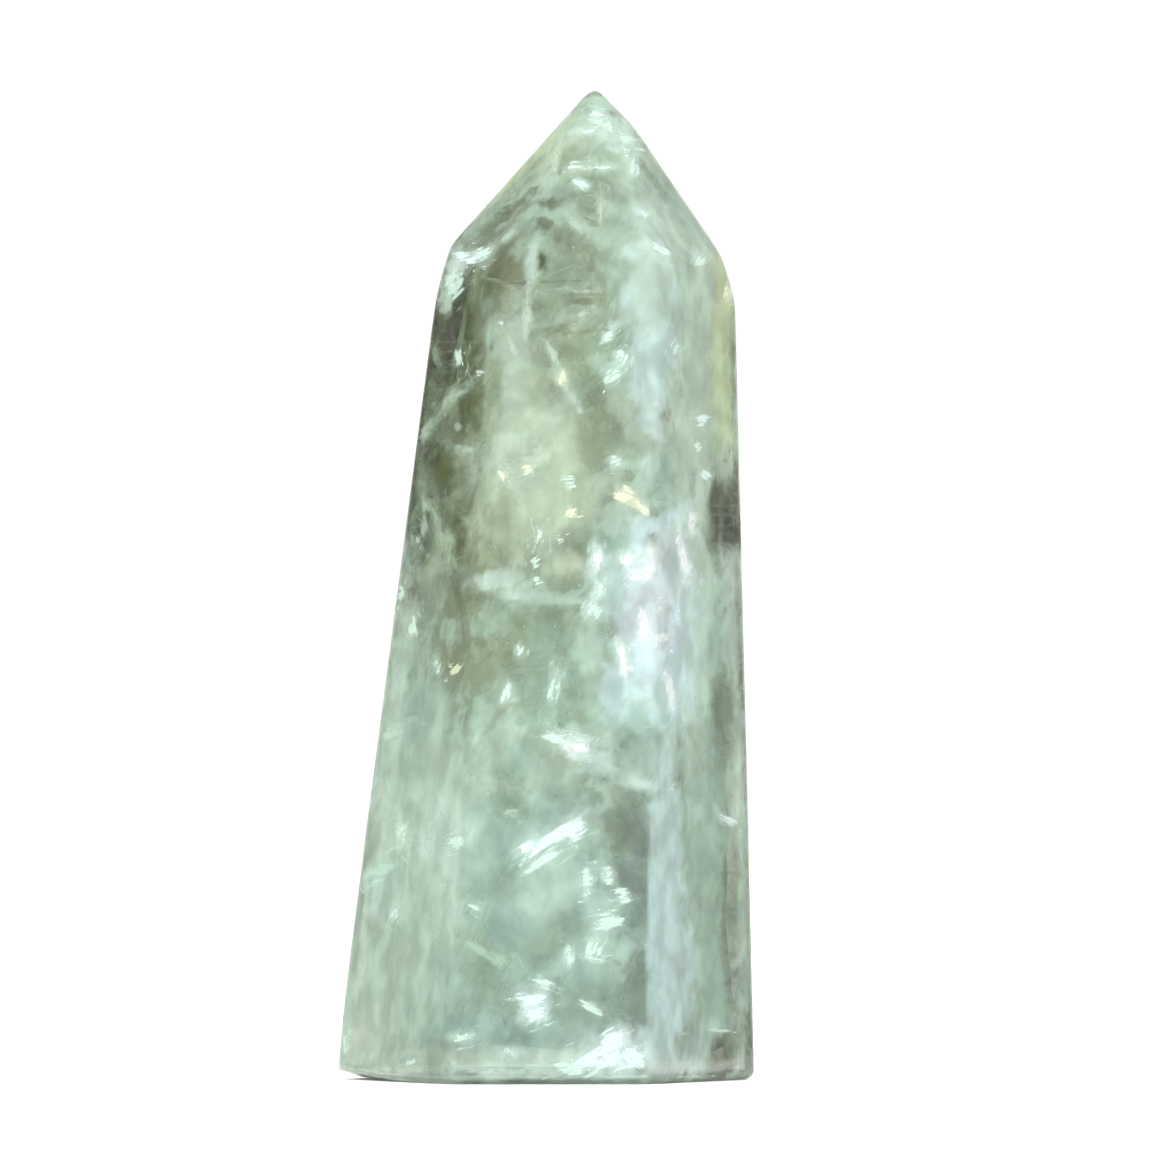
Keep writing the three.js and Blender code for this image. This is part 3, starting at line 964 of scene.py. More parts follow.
# %% [markdown]
# ## Healed cracks
# A crack that healed while the crystal grew leaves a thin wavy sheet of tiny drops, a veil. Seen edge on it
# is a bright line, seen flat it is a faint curtain. Lines drawn on the surface would look the same from
# every side. Here a veil is a rippled grid that starts from a line just under the flat and runs to a
# shifted line deeper in, and its cover fades in shreds. The ones in this table follow the picture.

# %% Veils
VEILS = [  # kind, cover, near and far depth in millimetres, shift of the far line in picture points, line
    ("frost", 0.7, 0.2, 1.6, (5, 0), [(529, 320), (527, 282), (532, 244), (544, 212)]),
    ("frost", 0.9, 0.2, 1.2, (4, 2), [(501, 322), (507, 337), (518, 354)]),
    ("frost", 0.8, 0.2, 1.2, (5, 3), [(606, 333), (618, 321), (632, 310)]),
    ("frost", 0.9, 0.2, 1.4, (6, 1), [(548, 344), (556, 362), (562, 378), (568, 394), (588, 418)]),
    ("mint", 1.0, 0.2, 0.9, (7, 4), [(420, 444), (430, 424), (444, 404), (458, 394), (478, 374)]),
    ("sage", 1.0, 0.2, 0.8, (6, 6), [(436, 414), (446, 398), (462, 392)]),
    ("sage", 0.8, 0.2, 0.9, (4, 0), [(457, 360), (456, 374), (458, 390)]),
    ("mint", 0.9, 0.2, 0.8, (5, 3), [(446, 456), (458, 448), (472, 447), (484, 438)]),
    ("sage", 0.7, 0.2, 0.8, (5, 3), [(424, 462), (430, 454), (438, 448)]),
    ("mint", 0.8, 0.2, 0.8, (5, 0), [(421, 490), (431, 510), (438, 528), (443, 550), (442, 566)]),
    ("sage", 0.7, 0.2, 0.8, (4, 3), [(407, 506), (416, 514), (422, 524)]),
    ("sage", 0.7, 0.2, 0.8, (4, 2), [(444, 482), (445, 492), (442, 502)]),
    ("sage", 0.8, 0.2, 0.9, (5, 4), [(404, 560), (416, 562), (430, 556)]),
    ("frost", 0.9, 0.2, 1.2, (4, 2), [(394, 586), (402, 600), (410, 615), (418, 634)]),
    ("frost", 0.7, 0.2, 1.0, (4, 0), [(430, 590), (425, 602), (422, 612)]),
    ("frost", 0.7, 0.2, 1.2, (4, 3), [(386, 692), (392, 678), (402, 668)]),
    ("frost", 0.7, 0.2, 1.2, (3, 5), [(384, 700), (395, 696), (404, 704)]),
    ("pale", 0.7, 0.2, 2.0, (8, 4), [(484, 480), (488, 436), (504, 412), (530, 407), (548, 420), (560, 444)]),
    ("frost", 0.7, 0.2, 1.4, (6, 0), [(542, 400), (556, 420), (566, 440), (562, 458)]),
    ("straw", 0.7, 0.2, 2.0, (8, 4), [(500, 500), (490, 530), (496, 562)]),
    ("frost", 0.9, 0.2, 1.8, (2, 8),
     [(478, 592), (498, 578), (516, 597), (540, 602), (564, 598), (586, 584), (602, 572)]),
    ("pale", 0.7, 0.2, 2.4, (4, 12), [(470, 632), (493, 618), (516, 608), (545, 606)]),
    ("frost", 0.9, 0.2, 1.0, (4, 0), [(508, 682), (505, 692), (506, 704)]),
    ("frost", 0.8, 0.2, 1.2, (4, 0), [(553, 666), (557, 684), (551, 704)]),
    ("white", 1.0, 0.2, 1.6, (2, 9),
     [(536, 730), (556, 737), (578, 744), (596, 756), (612, 771), (630, 780), (652, 786)]),
    ("frost", 0.8, 0.2, 0.8, (0, 3),
     [(500, 719), (520, 714), (545, 719), (580, 723), (630, 724), (684, 731)]),
    ("cream", 0.9, 0.2, 0.9, (3, 2), [(447, 659), (452, 671), (458, 669), (463, 661)]),
    ("white", 0.9, 0.2, 1.4, (4, 0), [(692, 506), (690, 520), (691, 534)]),
    ("white", 1.0, 0.2, 1.4, (5, 0), [(679, 534), (682, 556), (688, 578)]),
    ("white", 0.9, 0.2, 1.8, (6, 0), [(648, 532), (653, 560), (650, 590)]),
    ("frost", 0.9, 0.2, 1.8, (6, 0), [(644, 600), (647, 628), (640, 655)]),
    ("white", 0.9, 0.2, 1.5, (5, 0), [(660, 652), (664, 682), (671, 712)]),
    ("frost", 0.8, 0.2, 1.5, (5, 0), [(622, 640), (620, 664), (615, 684)]),
    ("frost", 0.8, 0.2, 1.5, (5, 0), [(672, 640), (676, 670), (684, 702)]),
    ("blue", 0.9, 0.2, 2.0, (3, 10), [(634, 545), (645, 527), (664, 519), (692, 507)]),
    ("frost", 0.7, 0.2, 1.2, (4, 0), [(700, 590), (703, 620), (707, 652)]),
    ("frost", 0.8, 0.2, 0.9, (4, 0), [(741, 730), (743, 790), (744, 850)]),
    ("white", 0.9, 0.2, 1.0, (2, 4), [(520, 848), (545, 832), (570, 819)]),
    ("white", 0.9, 0.2, 1.0, (2, 4), [(530, 853), (556, 841), (582, 825)]),
    ("frost", 0.9, 0.2, 1.2, (2, 5), [(538, 860), (562, 850), (586, 838)]),
    ("frost", 0.8, 0.2, 1.2, (5, 3), [(394, 840), (401, 829), (411, 821)]),
    ("pale", 0.7, 0.2, 2.0, (8, 0), [(420, 735), (409, 768), (398, 806)]),
    ("pale", 0.7, 0.2, 2.4, (10, 0), [(452, 860), (461, 900), (455, 950)]),
    ("pale", 0.7, 0.2, 2.4, (9, 4), [(470, 700), (468, 740), (484, 772)]),
    ("frost", 0.9, 0.2, 0.7, (0, 4), [(556, 1078), (600, 1074), (652, 1076)]),
    ("moss", 0.3, 0.2, 2.0, (2, -8), [(590, 772), (614, 786), (648, 795)]),
    ("moss", 0.8, 0.2, 1.6, (6, 0), [(498, 762), (499, 784), (498, 806)]),
]
LEVEL_LINES = [  # growth lines: from and to picture points across, first and last height, spacing
    (428, 478, 330, 376, 10), (708, 739, 504, 552, 10), (703, 742, 646, 806, 18), (706, 745, 872, 992, 15),
]
print(len(VEILS), "veils and", len(LEVEL_LINES), "groups of level lines are named")

# %% [markdown]
# ## Seeded veils
# The other sides need veils too, and a few more are strewn over the front. A veil in a colour of its own
# would stand out against the haze, so a seeded one takes most of its tone from the haze where it lies, a
# little lighter.

# %% Seeded veils
VEIL_KINDS = ("frost", "frost", "pale", "mint", "blue", "straw", "moss")
VEIL_OWN = 0.3  # how much of its kind's colour a seeded veil keeps
VEIL_LIGHT = 1.15
VEIL_PIECE = 11  # picture points from one corner of its line to the next
FRONT_VEILS = 18
SIDE_VEILS = 70


def tone_at(place):
    """The colour of the outer haze nearest to a place."""
    return outer_paint[((outer_points - np.array(place)) ** 2).sum(axis=1).argmin()][:3]


def random_veils(turn, count):
    """Veils for one side: slightly bent lines of any direction, most of them upright."""
    made = []
    for _ in range(count):
        x, y = BASE_X_PX + chance.uniform(-130, 130), chance.uniform(110, 1060)
        heading, bend = chance.normal(math.pi / 2, 0.8), chance.normal(0, 0.02)
        line = []
        for _ in range(int(chance.integers(3, 9))):
            line.append((x, y))
            x, y = x + VEIL_PIECE * math.cos(heading), y - VEIL_PIECE * math.sin(heading)
            heading += bend * VEIL_PIECE
        colour = np.array(KINDS[str(chance.choice(VEIL_KINDS))][0])
        middle = seen_at(*line[len(line) // 2], 0.5, turn)
        if middle is not None:
            colour = colour * VEIL_OWN + tone_at(middle) * (1 - VEIL_OWN) * VEIL_LIGHT
        shift = tuple(chance.uniform(-26, 26, 2))
        made.append((colour, chance.uniform(0.4, 0.9), 0.5, chance.uniform(1.2, 5.0), shift, line, turn))
    return made


veils = [(KINDS[kind][0], *veil, 0.0) for kind, *veil in VEILS]
for start_x, end_x, first_y, last_y, spacing in LEVEL_LINES:
    for y in range(first_y, last_y, spacing):
        wander = chance.uniform(-2, 2, 3)
        line = [(start_x + wander[0] * 4, y), ((start_x + end_x) / 2, y + wander[1]), (end_x, y + wander[2])]
        veils.append((KINDS["sage"][0], chance.uniform(0.25, 0.6), 0.3, 0.7, (0, 3), line, 0.0))
veils += random_veils(0.0, FRONT_VEILS)
for turn in OTHER_SIDES:
    veils += random_veils(turn, SIDE_VEILS)
print(len(veils), "veils in all")

# %% [markdown]
# ## Hanging the veils
# A veil hangs from its line like a curtain from a rail. Its line is smoothed by cutting corners, which
# needs no curve tool, and each row of its grid lies a little deeper. It thins out at both ends and towards
# its lower rows.

# %% Hanging the veils
VEIL_STEP = 3.5  # picture points between the grid's points along a veil
VEIL_ROWS = 7
RIPPLE = 0.16


def cut_corners(line):
    """A smoother line, from cutting its corners three times."""
    for _ in range(3):
        first, second = line[:-1], line[1:]
        inner = np.stack([0.75 * first + 0.25 * second, 0.25 * first + 0.75 * second], axis=1).reshape(-1, 2)
        line = np.concatenate([line[:1], inner, line[-1:]])
    return line


def evenly(line, step):
    """Points at even steps along a line."""
    way = np.concatenate([[0], np.cumsum(np.linalg.norm(np.diff(line, axis=0), axis=1))])
    places = np.linspace(0, way[-1], max(3, int(way[-1] / step) + 1))
    return np.stack([np.interp(places, way, line[:, k]) for k in (0, 1)], axis=1)


class Heap:
    """Points, faces and paint of many small sheets that become one piece."""

    def __init__(self):
        self.points, self.faces, self.paint = [], [], []

    def add_grid(self, grid, paint):
        """Adds a grid of points with their paint. Faces with a missing corner are left out."""
        rows, columns = len(grid), len(grid[0])
        number = {}
        for i in range(rows):
            for j in range(columns):
                if grid[i][j] is not None:
                    number[i, j] = len(self.points)
                    self.points.append(tuple(grid[i][j]))
                    self.paint.append(paint[i][j])
        for i in range(rows - 1):
            for j in range(columns - 1):
                corners = [(i, j), (i, j + 1), (i + 1, j + 1), (i + 1, j)]
                if all(corner in number for corner in corners):
                    self.faces.append([number[corner] for corner in corners])


def hang_veil(heap, veil, seed):
    """Adds one veil to a heap."""
    colour, cover, near, far, shift, line, turn = veil
    line = evenly(cut_corners(np.array(line, dtype=float)), VEIL_STEP)
    grid, paint = [], []
    for j, (x, y) in enumerate(line):
        end = math.sin(math.pi * (j + 0.5) / len(line)) ** 0.6
        row, colours = [], []
        for k in range(VEIL_ROWS):
            share = k / (VEIL_ROWS - 1)
            rough = noise.noise(Vector((x / 9 + seed * 7.1, y / 9, share * 1.5)))
            depth = near + (far - near) * share + RIPPLE * (1 + rough)
            row.append(seen_at(x + shift[0] * share + 3 * rough, y + shift[1] * share, depth, turn))
            shred = 0.85 + 0.7 * noise.noise(Vector((x / 5, y / 5 + seed * 3.3, share * 3)))
            fade = 1 - share**2 if k else 0.7
            colours.append((*colour, max(0.0, min(1.0, cover * end * fade * shred))))
        grid.append(row)
        paint.append(colours)
    heap.add_grid(grid, paint)


cracks = Heap()
for seed, veil in enumerate(veils):
    hang_veil(cracks, veil, seed)
inclusion("healed_cracks", cracks.points, cracks.faces, cracks.paint, haze)

# %% [markdown]
# ## Open cracks
# Where a crack stayed open there is air in it, and its torn walls throw the light back in strokes and small
# flashes. A white patch of haze would look like paint there. So each crack is a group with a place, a
# spread, a lean and the length of its shards. Below, a group becomes a torn sheet, and a bright one becomes
# a cluster of shards as well. Milky and dark groups are only soft strokes.

# %% Breaks that the picture shows
BREAKS = [  # kind, picture point, spread along and across, lean of the group, lean and length of its shards
    ("white", 461, 261, 19, 9, 5, 20, 7), ("frost", 470, 268, 10, 5, 60, 60, 7),
    ("frost", 454, 284, 10, 8, 60, 50, 6), ("frost", 484, 252, 8, 5, 30, 30, 6),
    ("frost", 596, 116, 7, 6, 0, 0, 5), ("frost", 584, 131, 12, 3, 0, 5, 7),
    ("frost", 611, 125, 12, 6, -30, -20, 6), ("frost", 621, 137, 12, 5, -10, 0, 7),
    ("white", 627, 151, 12, 3, -12, -12, 8), ("frost", 573, 166, 8, 4, 0, 0, 6),
    ("frost", 600, 167, 13, 2, 0, 0, 8), ("frost", 634, 167, 5, 8, 0, 80, 6),
    ("frost", 580, 184, 8, 4, -20, -15, 6), ("pale", 600, 205, 4, 14, 0, 85, 7),
    ("white", 642, 213, 5, 4, 0, 20, 5), ("white", 657, 246, 13, 4, -33, -33, 9),
    ("cream", 728, 291, 5, 6, 0, 70, 6), ("frost", 700, 262, 6, 9, 0, 70, 5),
    ("frost", 608, 334, 5, 6, 0, 40, 5), ("frost", 676, 347, 5, 7, 0, 70, 6),
    ("cream", 562, 378, 4, 6, 0, 80, 6), ("frost", 621, 357, 5, 6, 0, 60, 5),
    ("frost", 612, 376, 14, 5, 40, 35, 7), ("white", 702, 420, 6, 5, 20, 20, 6),
    ("white", 706, 475, 5, 5, -40, -40, 6), ("frost", 697, 446, 3, 4, 0, 40, 4),
    ("cream", 624, 495, 9, 8, 0, -20, 7), ("cream", 640, 506, 9, 3, -42, -40, 8),
    ("frost", 615, 461, 6, 5, 0, 20, 5), ("frost", 571, 482, 5, 5, 0, 0, 5),
    ("cream", 503, 475, 4, 5, 0, -60, 5), ("cream", 526, 469, 6, 5, 0, 20, 6),
    ("frost", 538, 534, 5, 8, 0, 70, 6), ("frost", 535, 563, 4, 5, 0, 40, 4),
    ("cream", 573, 512, 6, 5, 0, 20, 5), ("frost", 560, 539, 3, 4, 0, 20, 4),
    ("frost", 537, 580, 3, 4, 0, 20, 4), ("ice", 597, 558, 5, 11, -8, 78, 9),
    ("ice", 628, 560, 6, 5, 0, 20, 6), ("ice", 652, 559, 8, 14, 0, 85, 9), ("ice", 639, 576, 8, 5, 0, 0, 7),
    ("ice", 683, 552, 4, 22, 16, 74, 10), ("ice", 691, 522, 3, 9, 0, 90, 7),
    ("frost", 599, 590, 4, 8, -10, 75, 7), ("frost", 593, 611, 6, 7, 0, 60, 6),
    ("ice", 642, 622, 5, 13, 0, 90, 9), ("ice", 655, 638, 10, 6, 0, 60, 8),
    ("ice", 622, 660, 4, 14, 5, 85, 9), ("ice", 669, 686, 3, 24, 12, 78, 10),
    ("frost", 520, 652, 3, 5, 0, 60, 5), ("frost", 507, 692, 4, 9, -12, 75, 7),
    ("frost", 553, 686, 4, 14, -14, 75, 7), ("cream", 455, 670, 5, 6, 0, 40, 5),
    ("ice", 577, 745, 12, 6, -12, -12, 9), ("frost", 560, 738, 16, 6, -12, -12, 9),
    ("frost", 672, 788, 4, 4, 0, 0, 5), ("white", 553, 836, 28, 6, 33, 33, 12),
    ("white", 578, 829, 10, 8, 30, 33, 9), ("frost", 545, 858, 20, 5, 30, 30, 9),
    ("white", 526, 847, 9, 5, 20, 30, 8), ("frost", 587, 880, 4, 14, 0, 5, 8),
    ("frost", 609, 876, 5, 8, 0, 10, 7), ("frost", 622, 896, 7, 7, 0, 15, 7),
    ("frost", 606, 922, 15, 9, 5, 5, 9), ("frost", 594, 948, 7, 9, 0, 60, 6),
    ("frost", 596, 960, 10, 3, 0, 0, 7), ("frost", 569, 954, 4, 7, 0, 80, 6),
    ("white", 529, 1000, 16, 6, 0, 12, 9), ("white", 536, 1013, 9, 7, 25, 25, 8),
    ("frost", 543, 982, 12, 4, -15, -10, 7), ("frost", 593, 1008, 12, 3, -27, -27, 8),
    ("white", 614, 1040, 12, 10, 30, 25, 9), ("white", 612, 1058, 34, 12, 8, 28, 10),
    ("frost", 572, 1070, 18, 5, 0, 10, 8), ("white", 636, 1058, 14, 9, -15, -20, 8),
    ("frost", 456, 839, 8, 6, 20, 20, 7), ("frost", 400, 830, 4, 8, 0, 60, 6),
    ("frost", 475, 907, 7, 3, -28, -28, 7), ("frost", 462, 1038, 10, 4, 10, 10, 6),
    ("white", 511, 1052, 6, 3, -15, -15, 6), ("frost", 411, 1061, 5, 4, 0, 20, 5),
    ("frost", 394, 915, 3, 6, 0, 60, 5), ("white", 726, 817, 10, 3, -28, -28, 8),
    ("frost", 716, 1030, 20, 2, -4, -4, 9), ("frost", 698, 1076, 18, 2, 0, 0, 8),
    ("frost", 344, 1045, 5, 8, 0, 60, 5), ("frost", 400, 596, 3, 20, -25, 115, 9),
    ("frost", 412, 626, 3, 12, -20, 110, 8), ("frost", 437, 665, 4, 9, 0, 60, 6),
    ("frost", 460, 357, 4, 8, 0, 85, 7), ("pale", 458, 392, 18, 4, 40, 40, 9),
    ("pale", 430, 426, 18, 4, 56, 56, 9), ("sage", 436, 524, 4, 22, 18, 75, 9),
    ("olive", 445, 474, 13, 5, 0, 0, 9), ("sage", 457, 427, 4, 6, 0, 60, 6),
    ("sage", 470, 449, 12, 4, 10, 10, 8), ("frost", 458, 357, 3, 3, 0, 0, 4),
    ("frost", 480, 373, 4, 3, 0, 0, 4), ("frost", 417, 539, 2, 4, 0, 80, 4),
    ("moss", 500, 222, 30, 4, 31, 31, 9), ("moss", 482, 236, 18, 3, 36, 36, 9),
    ("olive", 542, 261, 3, 8, 0, 90, 7), ("olive", 533, 285, 5, 3, 0, 20, 5),
    ("moss", 531, 309, 7, 6, 0, 60, 7), ("moss", 548, 204, 5, 5, 0, 60, 6),
    ("moss", 544, 222, 4, 6, 0, 80, 6), ("moss", 557, 236, 6, 8, 0, 70, 8),
    ("moss", 590, 209, 10, 4, -20, -20, 8), ("moss", 594, 222, 6, 3, -10, -10, 6),
    ("moss", 582, 302, 14, 3, 3, 3, 9), ("moss", 578, 332, 18, 2, 12, 12, 9),
    ("moss", 590, 272, 4, 16, 0, 80, 9), ("moss", 506, 268, 12, 10, 40, 50, 9),
    ("moss", 472, 306, 12, 9, 50, 50, 9), ("moss", 488, 270, 12, 3, 30, 30, 9),
    ("moss", 598, 392, 10, 12, 0, 70, 9), ("moss", 556, 328, 10, 3, 14, 14, 8),
    ("pale", 528, 250, 5, 24, 0, 86, 9), ("pale", 526, 312, 4, 24, 0, 88, 9),
    ("pale", 555, 358, 15, 3, -62, -62, 9), ("pale", 574, 400, 20, 4, -58, -58, 9),
    ("frost", 501, 323, 3, 3, 0, 0, 4), ("pale", 508, 337, 14, 3, -60, -60, 9),
    ("pale", 582, 291, 12, 2, 2, 2, 8), ("pale", 583, 314, 6, 4, 0, 20, 6),
    ("pale", 557, 176, 4, 18, 0, 85, 9), ("pale", 575, 222, 10, 3, -45, -45, 8),
    ("pale", 505, 240, 14, 4, 38, 38, 9), ("pale", 446, 304, 8, 9, 0, 60, 7),
    ("pale", 400, 1070, 40, 4, 0, 0, 9), ("pale", 500, 1071, 50, 4, 0, 0, 9),
    ("moss", 462, 438, 12, 4, -30, -30, 9), ("olive", 441, 466, 7, 14, 0, 60, 9),
    ("pale", 424, 520, 3, 24, 0, 100, 9), ("pale", 470, 449, 12, 3, -10, -10, 8),
    ("sage", 450, 545, 6, 16, 0, 80, 9), ("moss", 458, 610, 20, 8, 20, 20, 9),
]

# %% [markdown]
# ## Torn sheets
# Modelling every stroke of a torn wall would take far too many triangles. A sheet lies close under the flat
# instead, and its grain coordinates run along the strokes. Noise that is drawn out along the grain cuts it
# into streaks, which thin out towards its edge.

# %% Torn sheets
BREAK_COVER = {
    "white": 1.0, "ice": 0.8, "frost": 0.85, "cream": 0.9,
    "sage": 0.9, "moss": 0.5, "olive": 0.7, "pale": 0.55,
}
TORN_REACH = 1.5  # where a torn sheet ends, as a multiple of its spread
TORN_DEPTH = 0.2  # millimetres under the flat
TORN_STEP = 3.4  # picture points between the grid's points
CRUMPLE = 0.06
SOFT_KINDS = ("ice", "sage", "moss", "olive", "pale")  # milky strokes with soft edges and no shards
STREAK = 9.0  # a group with this length of shards has streaks of the full size
FRONT_NORMAL = -0.2  # the seeded groups stay away from flats that face the front more than this


def nearest_flat(place):
    """The number of the flat that a place lies closest behind."""
    return -1 if place is None else int((REACHES - NORMALS @ np.array(place)).argmin())


def tear(heap, group, colour, cover, depth, step, seed):
    """Adds a crumpled sheet. Its grain coordinates run along and across the streaks."""
    _, x, y, along, across, lean, grain_lean, length, turn = group
    fine = STREAK / length / PX_PER_MM * MM
    flat = nearest_flat(seen_at(x, y, depth, turn))
    if turn and NORMALS[flat][1] < FRONT_NORMAL:
        return
    spans = [(-reach * TORN_REACH - step, reach * TORN_REACH + 2 * step) for reach in (along, across)]
    us, vs = (np.arange(*span, step) for span in spans)
    grid, paint = [], []
    for u in us:
        row, colours = [], []
        for v in vs:
            du, dv = turned(u, v, lean)
            bump = noise.noise(Vector((u / 7, v / 4, seed * 1.9)))
            place = seen_at(x + du, y + dv, depth + CRUMPLE * bump, turn)
            row.append(place if nearest_flat(place) == flat else None)
            fade = max(0.0, 1 - (u / along / TORN_REACH) ** 2 - (v / across / TORN_REACH) ** 2)
            a, b = turned(du, -dv, grain_lean)
            colours.append((*colour, cover, a * fine, b * fine, seed * 7.7 * MM, fade))
        grid.append(row)
        paint.append(colours)
    heap.add_grid(grid, paint)


def streaky(low, high, drawn):
    """The surface of a torn sheet. It covers fully where the streaks and the fade together reach high."""

    def surface(sheet):
        cloud = sheet.node("ShaderNodeAttribute", {"attribute_name": "cloud"})
        grain = sheet.node("ShaderNodeAttribute", {"attribute_name": "grain"})["Vector"]
        fade = sheet.node("ShaderNodeAttribute", {"attribute_name": "fade"})["Fac"]
        streaks = sheet.noise(1.0, detail=2.5, place=sheet.drawn(grain, (1 / drawn, drawn, 1.0)))
        cover = sheet.step(streaks * 1.6 + fade * 0.5, low, high) * cloud["Alpha"]
        sockets = {"Base Color": cloud["Color"], "Alpha": cover, "Roughness": 0.7, "Specular IOR Level": 0.0}
        return sheet.node("ShaderNodeBsdfPrincipled", None, sockets)["BSDF"]

    return surface


print("a sheet's points lie", round(TORN_STEP / PX_PER_MM, 2), "mm apart")

# %% [markdown]
# ## The groups become sheets
# The other sides get seeded groups, mostly small with a few large ones, because real cracks are so. Then
# every group is torn. The soft kinds go to the heap of the wisps, whose streaks are wider.

# %% The groups become sheets
BREAK_KINDS = ("white", "frost", "frost", "pale", "sage", "cream")
SIDE_BREAKS = 26
LEAST_BREAK = 3  # picture points
BREAK_GROWTH = 20  # how much larger than that the largest group is


def random_breaks(turn, count):
    """Groups of shards for one side."""
    made = []
    for _ in range(count):
        lean, along = chance.uniform(-70, 70), LEAST_BREAK + BREAK_GROWTH * chance.uniform(0, 1) ** 2.5
        kind = str(chance.choice(BREAK_KINDS))
        place = BASE_X_PX + chance.uniform(-120, 120), chance.uniform(110, 1060)
        across = along * chance.uniform(0.25, 0.8) + 1
        made.append((kind, *place, along, across, lean, lean + chance.normal(0, 25), 4 + along / 4, turn))
    return made


torn, wisps = Heap(), Heap()
breaks = [(*group, 0.0) for group in BREAKS]
for turn in OTHER_SIDES:
    breaks += random_breaks(turn, SIDE_BREAKS)
for seed, group in enumerate(breaks):
    heap = wisps if group[0] in SOFT_KINDS else torn
    tear(heap, group, KINDS[group[0]][0], BREAK_COVER[group[0]], TORN_DEPTH, TORN_STEP, seed)
torn_mist = material("torn_mist", streaky(0.92, 1.26, 1.9))
inclusion("torn_cracks", torn.points, torn.faces, torn.paint, torn_mist)

# %% [markdown]
# ## Wisps
# Between the large features the stone is full of short faint strokes. Noise in the haze alone would look
# like fog. Seeded sheets with softer streaks lie in it at every lean, each a little lighter or darker than
# the haze around it.

# %% Wisps
WISPS_PER_SIDE = 260
WISP_STEP = 5.0
DIMMEST_WISP = np.array(KINDS["sage"][0]) * 0.55  # the light wisps show in the dark places too
LIGHTER = (1.08, 1.24)  # one wisp in two is this much lighter than the haze, the others are darker
DARKER = (0.6, 0.88)


def add_wisp(turn, seed):
    """A streaky sheet, a little lighter or darker than the haze around it."""
    x, y = BASE_X_PX + chance.uniform(-200, 220), chance.uniform(100, 1070)
    lean = chance.normal(80, 50)
    along, across = chance.uniform(5, 28), chance.uniform(3, 9)
    light = chance.uniform(*LIGHTER) if chance.uniform() < 0.5 else chance.uniform(*DARKER)
    depth = 0.22 + 2.5 * chance.uniform() ** 2
    place = seen_at(x, y, depth, turn)
    if place is not None:
        colour = np.clip(tone_at(place) * light, 0, 1)
        if light > 1:
            colour = np.maximum(colour, DIMMEST_WISP)
        group = (None, x, y, along, across, lean, lean + chance.normal(0, 10), STREAK, turn)
        tear(wisps, group, colour, chance.uniform(0.25, 0.7), depth, WISP_STEP, seed)


for turn in (0.0, *OTHER_SIDES):
    for k in range(WISPS_PER_SIDE):
        add_wisp(turn, k + turn)
wisp_mist = material("wisp_mist", streaky(0.8, 1.4, 1.3))
inclusion("wisps", wisps.points, wisps.faces, wisps.paint, wisp_mist)

# %% [markdown]
# ## Shards
# A broken wall is a heap of small flat facets. One rough sheet would shine evenly. Here each facet is a
# loose flake with a tilt of its own, so one flashes while the next stays dark.

# %% Shards
BREAK_DEPTH = (0.12, 0.19)  # millimetres under the flat
SHARD = ((-1, 0.1), (-0.5, 0.5), (0.3, 0.45), (1, 0.0), (0.5, -0.45), (-0.4, -0.5))  # its outline
SHARD_WIDTH = 0.36
SHARD_TILT = 0.05  # how far a shard's corners lie off its middle's depth, in millimetres
FILL = 0.5  # how many times shards of the full length would cover the middle of their group
broken = Heap()


def shatter(group):
    """Adds the shards of one break, all close under the same flat."""
    kind, x, y, along, across, lean, shard_lean, length, turn = group
    flat = nearest_flat(seen_at(x, y, BREAK_DEPTH[0], turn))
    if kind in SOFT_KINDS or turn and NORMALS[flat][1] < FRONT_NORMAL:
        return
    count = int(FILL * math.pi * along * across / (length * length * SHARD_WIDTH)) + 3
    for _ in range(count if flat >= 0 else 0):
        u, v = turned(*(chance.normal(0, 0.5, 2) * (along, across)), lean)
        half = length * chance.uniform(0.1, 0.34)
        angle, width = shard_lean + chance.normal(0, 14), half * SHARD_WIDTH * chance.uniform(1.0, 2.2)
        depth, tilt = chance.uniform(*BREAK_DEPTH), chance.uniform(-SHARD_TILT, SHARD_TILT, 2)
        places = [seen_at(x + u, y + v, depth - 0.5 * SHARD_TILT, turn)]
        for a, b in SHARD:
            a, b = a + chance.uniform(-0.2, 0.2), b + chance.uniform(-0.15, 0.15)
            du, dv = turned(a * half, b * width, angle)
            places.append(seen_at(x + u + du, y + v + dv, depth + a * tilt[0] + b * tilt[1], turn))
        if any(nearest_flat(place) != flat for place in places):
            continue
        first = len(broken.points)
        light = chance.uniform(0.85, 1.1)
        broken.points.extend(tuple(place) for place in places)
        broken.paint.extend([(*(light * c for c in KINDS[kind][0]), 1.0)] * len(places))
        rim = [first + 1 + k % len(SHARD) for k in range(len(SHARD) + 1)]
        broken.faces.extend((first, here, beside) for here, beside in zip(rim, rim[1:]))


def broken_wall(sheet):
    rough = sheet.noise(0.5, detail=2.0)
    cloud = sheet.node("ShaderNodeAttribute", {"attribute_name": "cloud"})
    tint = sheet.lit(cloud["Color"], rough * 0.5 + 0.75)
    sockets = {"Base Color": tint, "Roughness": rough * 0.4 + 0.1, "Metallic": 0.2}
    return sheet.node("ShaderNodeBsdfPrincipled", None, sockets)["BSDF"]


mirror_wall = material("broken_wall", broken_wall)
for group in breaks:
    shatter(group)
inclusion("bright_breaks", broken.points, broken.faces, broken.paint, mirror_wall, smooth=False)

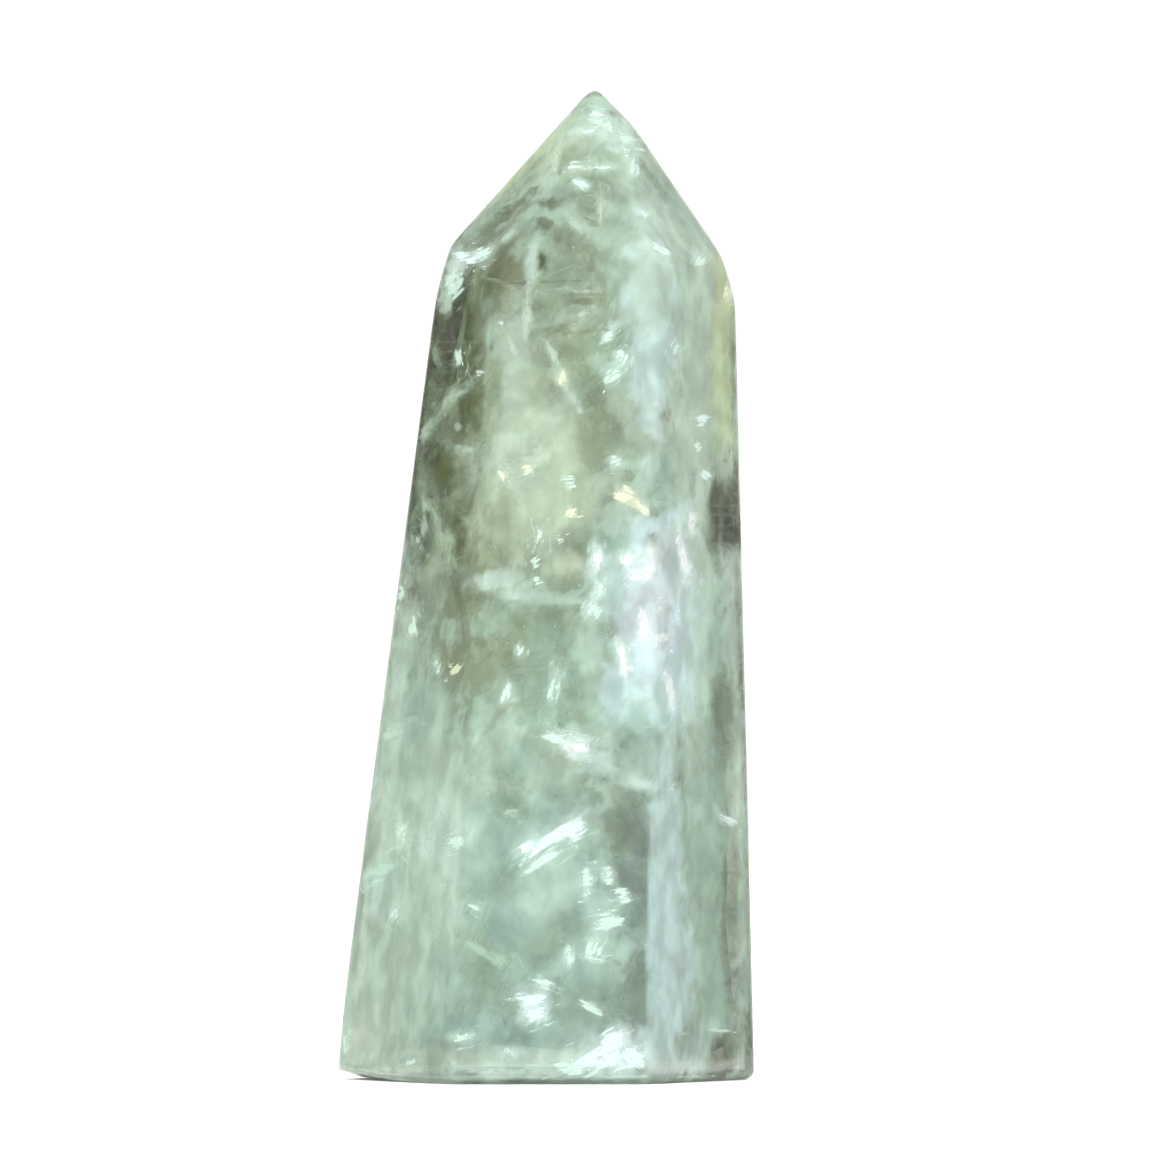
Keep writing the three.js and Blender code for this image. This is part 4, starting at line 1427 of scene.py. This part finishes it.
# %% [markdown]
# ## Flecks
# The smallest sparkles are single drops. Points of white paint would be flat from the side, so each is a
# lumpy ball. Some lie where the picture has a small bright spot, and seeded ones lie all around.

# %% Flecks
FLECKS_PER_SIDE = 100
FLECK_COLOUR = (*KINDS["frost"][0], 1.0)
LARGEST_SPOT = 9  # a bright wash with less spread than this gets a fleck
SPOT_SHARE = 0.2  # the size of that fleck, as a share of the wash
FLECK_SKIN = 0.15  # how much stone lies over a fleck at least, in millimetres
seedling = bmesh.new()
bmesh.ops.create_icosphere(seedling, subdivisions=2, radius=1.0)
ball = np.array([v.co for v in seedling.verts])
ball_faces = np.array([[v.index for v in face.verts] for face in seedling.faces])
seedling.free()
fleck_points, fleck_faces = [], []


def add_fleck(x, y, radius, depth, turn):
    """A small lumpy grain of bright drops."""
    centre = seen_at(x, y, depth, turn)
    if centre is None or depth_of(np.array([centre]))[0] < radius + FLECK_SKIN:
        return
    shape = ball * radius * chance.uniform(0.6, 1.15, 3)
    lumps = 1 + 0.25 * noise_at(ball, 0.9, chance.uniform(0, 50), 2)
    fleck_faces.extend((ball_faces + len(fleck_points) * len(ball)).tolist())
    fleck_points.append(np.array(centre) + shape * lumps[:, None])


for wash in washes:
    if wash[0] in ("frost", "cream", "white") and max(wash[3:5]) < LARGEST_SPOT:
        add_fleck(wash[1], wash[2], min(wash[3:5]) * SPOT_SHARE / PX_PER_MM, 0.4, wash[7])
for turn in (0.0, *OTHER_SIDES):
    for _ in range(FLECKS_PER_SIDE):
        place = BASE_X_PX + chance.uniform(-160, 190), chance.uniform(100, 1070)
        add_fleck(*place, chance.uniform(0.03, 0.08), chance.uniform(0.3, 1.2), turn)
grains = np.concatenate(fleck_points)
inclusion("flecks", grains, fleck_faces, np.tile(FLECK_COLOUR, (len(grains), 1)), mirror_wall)

# %% [markdown]
# ## Size and finish
# The dressed stone keeps the imported size, and the gaps between its box and the imported box are printed.

# %% Finish
print("triangles:", triangles, "in all", sum(triangles.values()))
lowest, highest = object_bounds()
gaps = (*(lowest - cad_box[0]), *(cad_box[1] - highest))
print("it stays inside its box by", [round(gap / MM, 3) for gap in gaps], "mm")
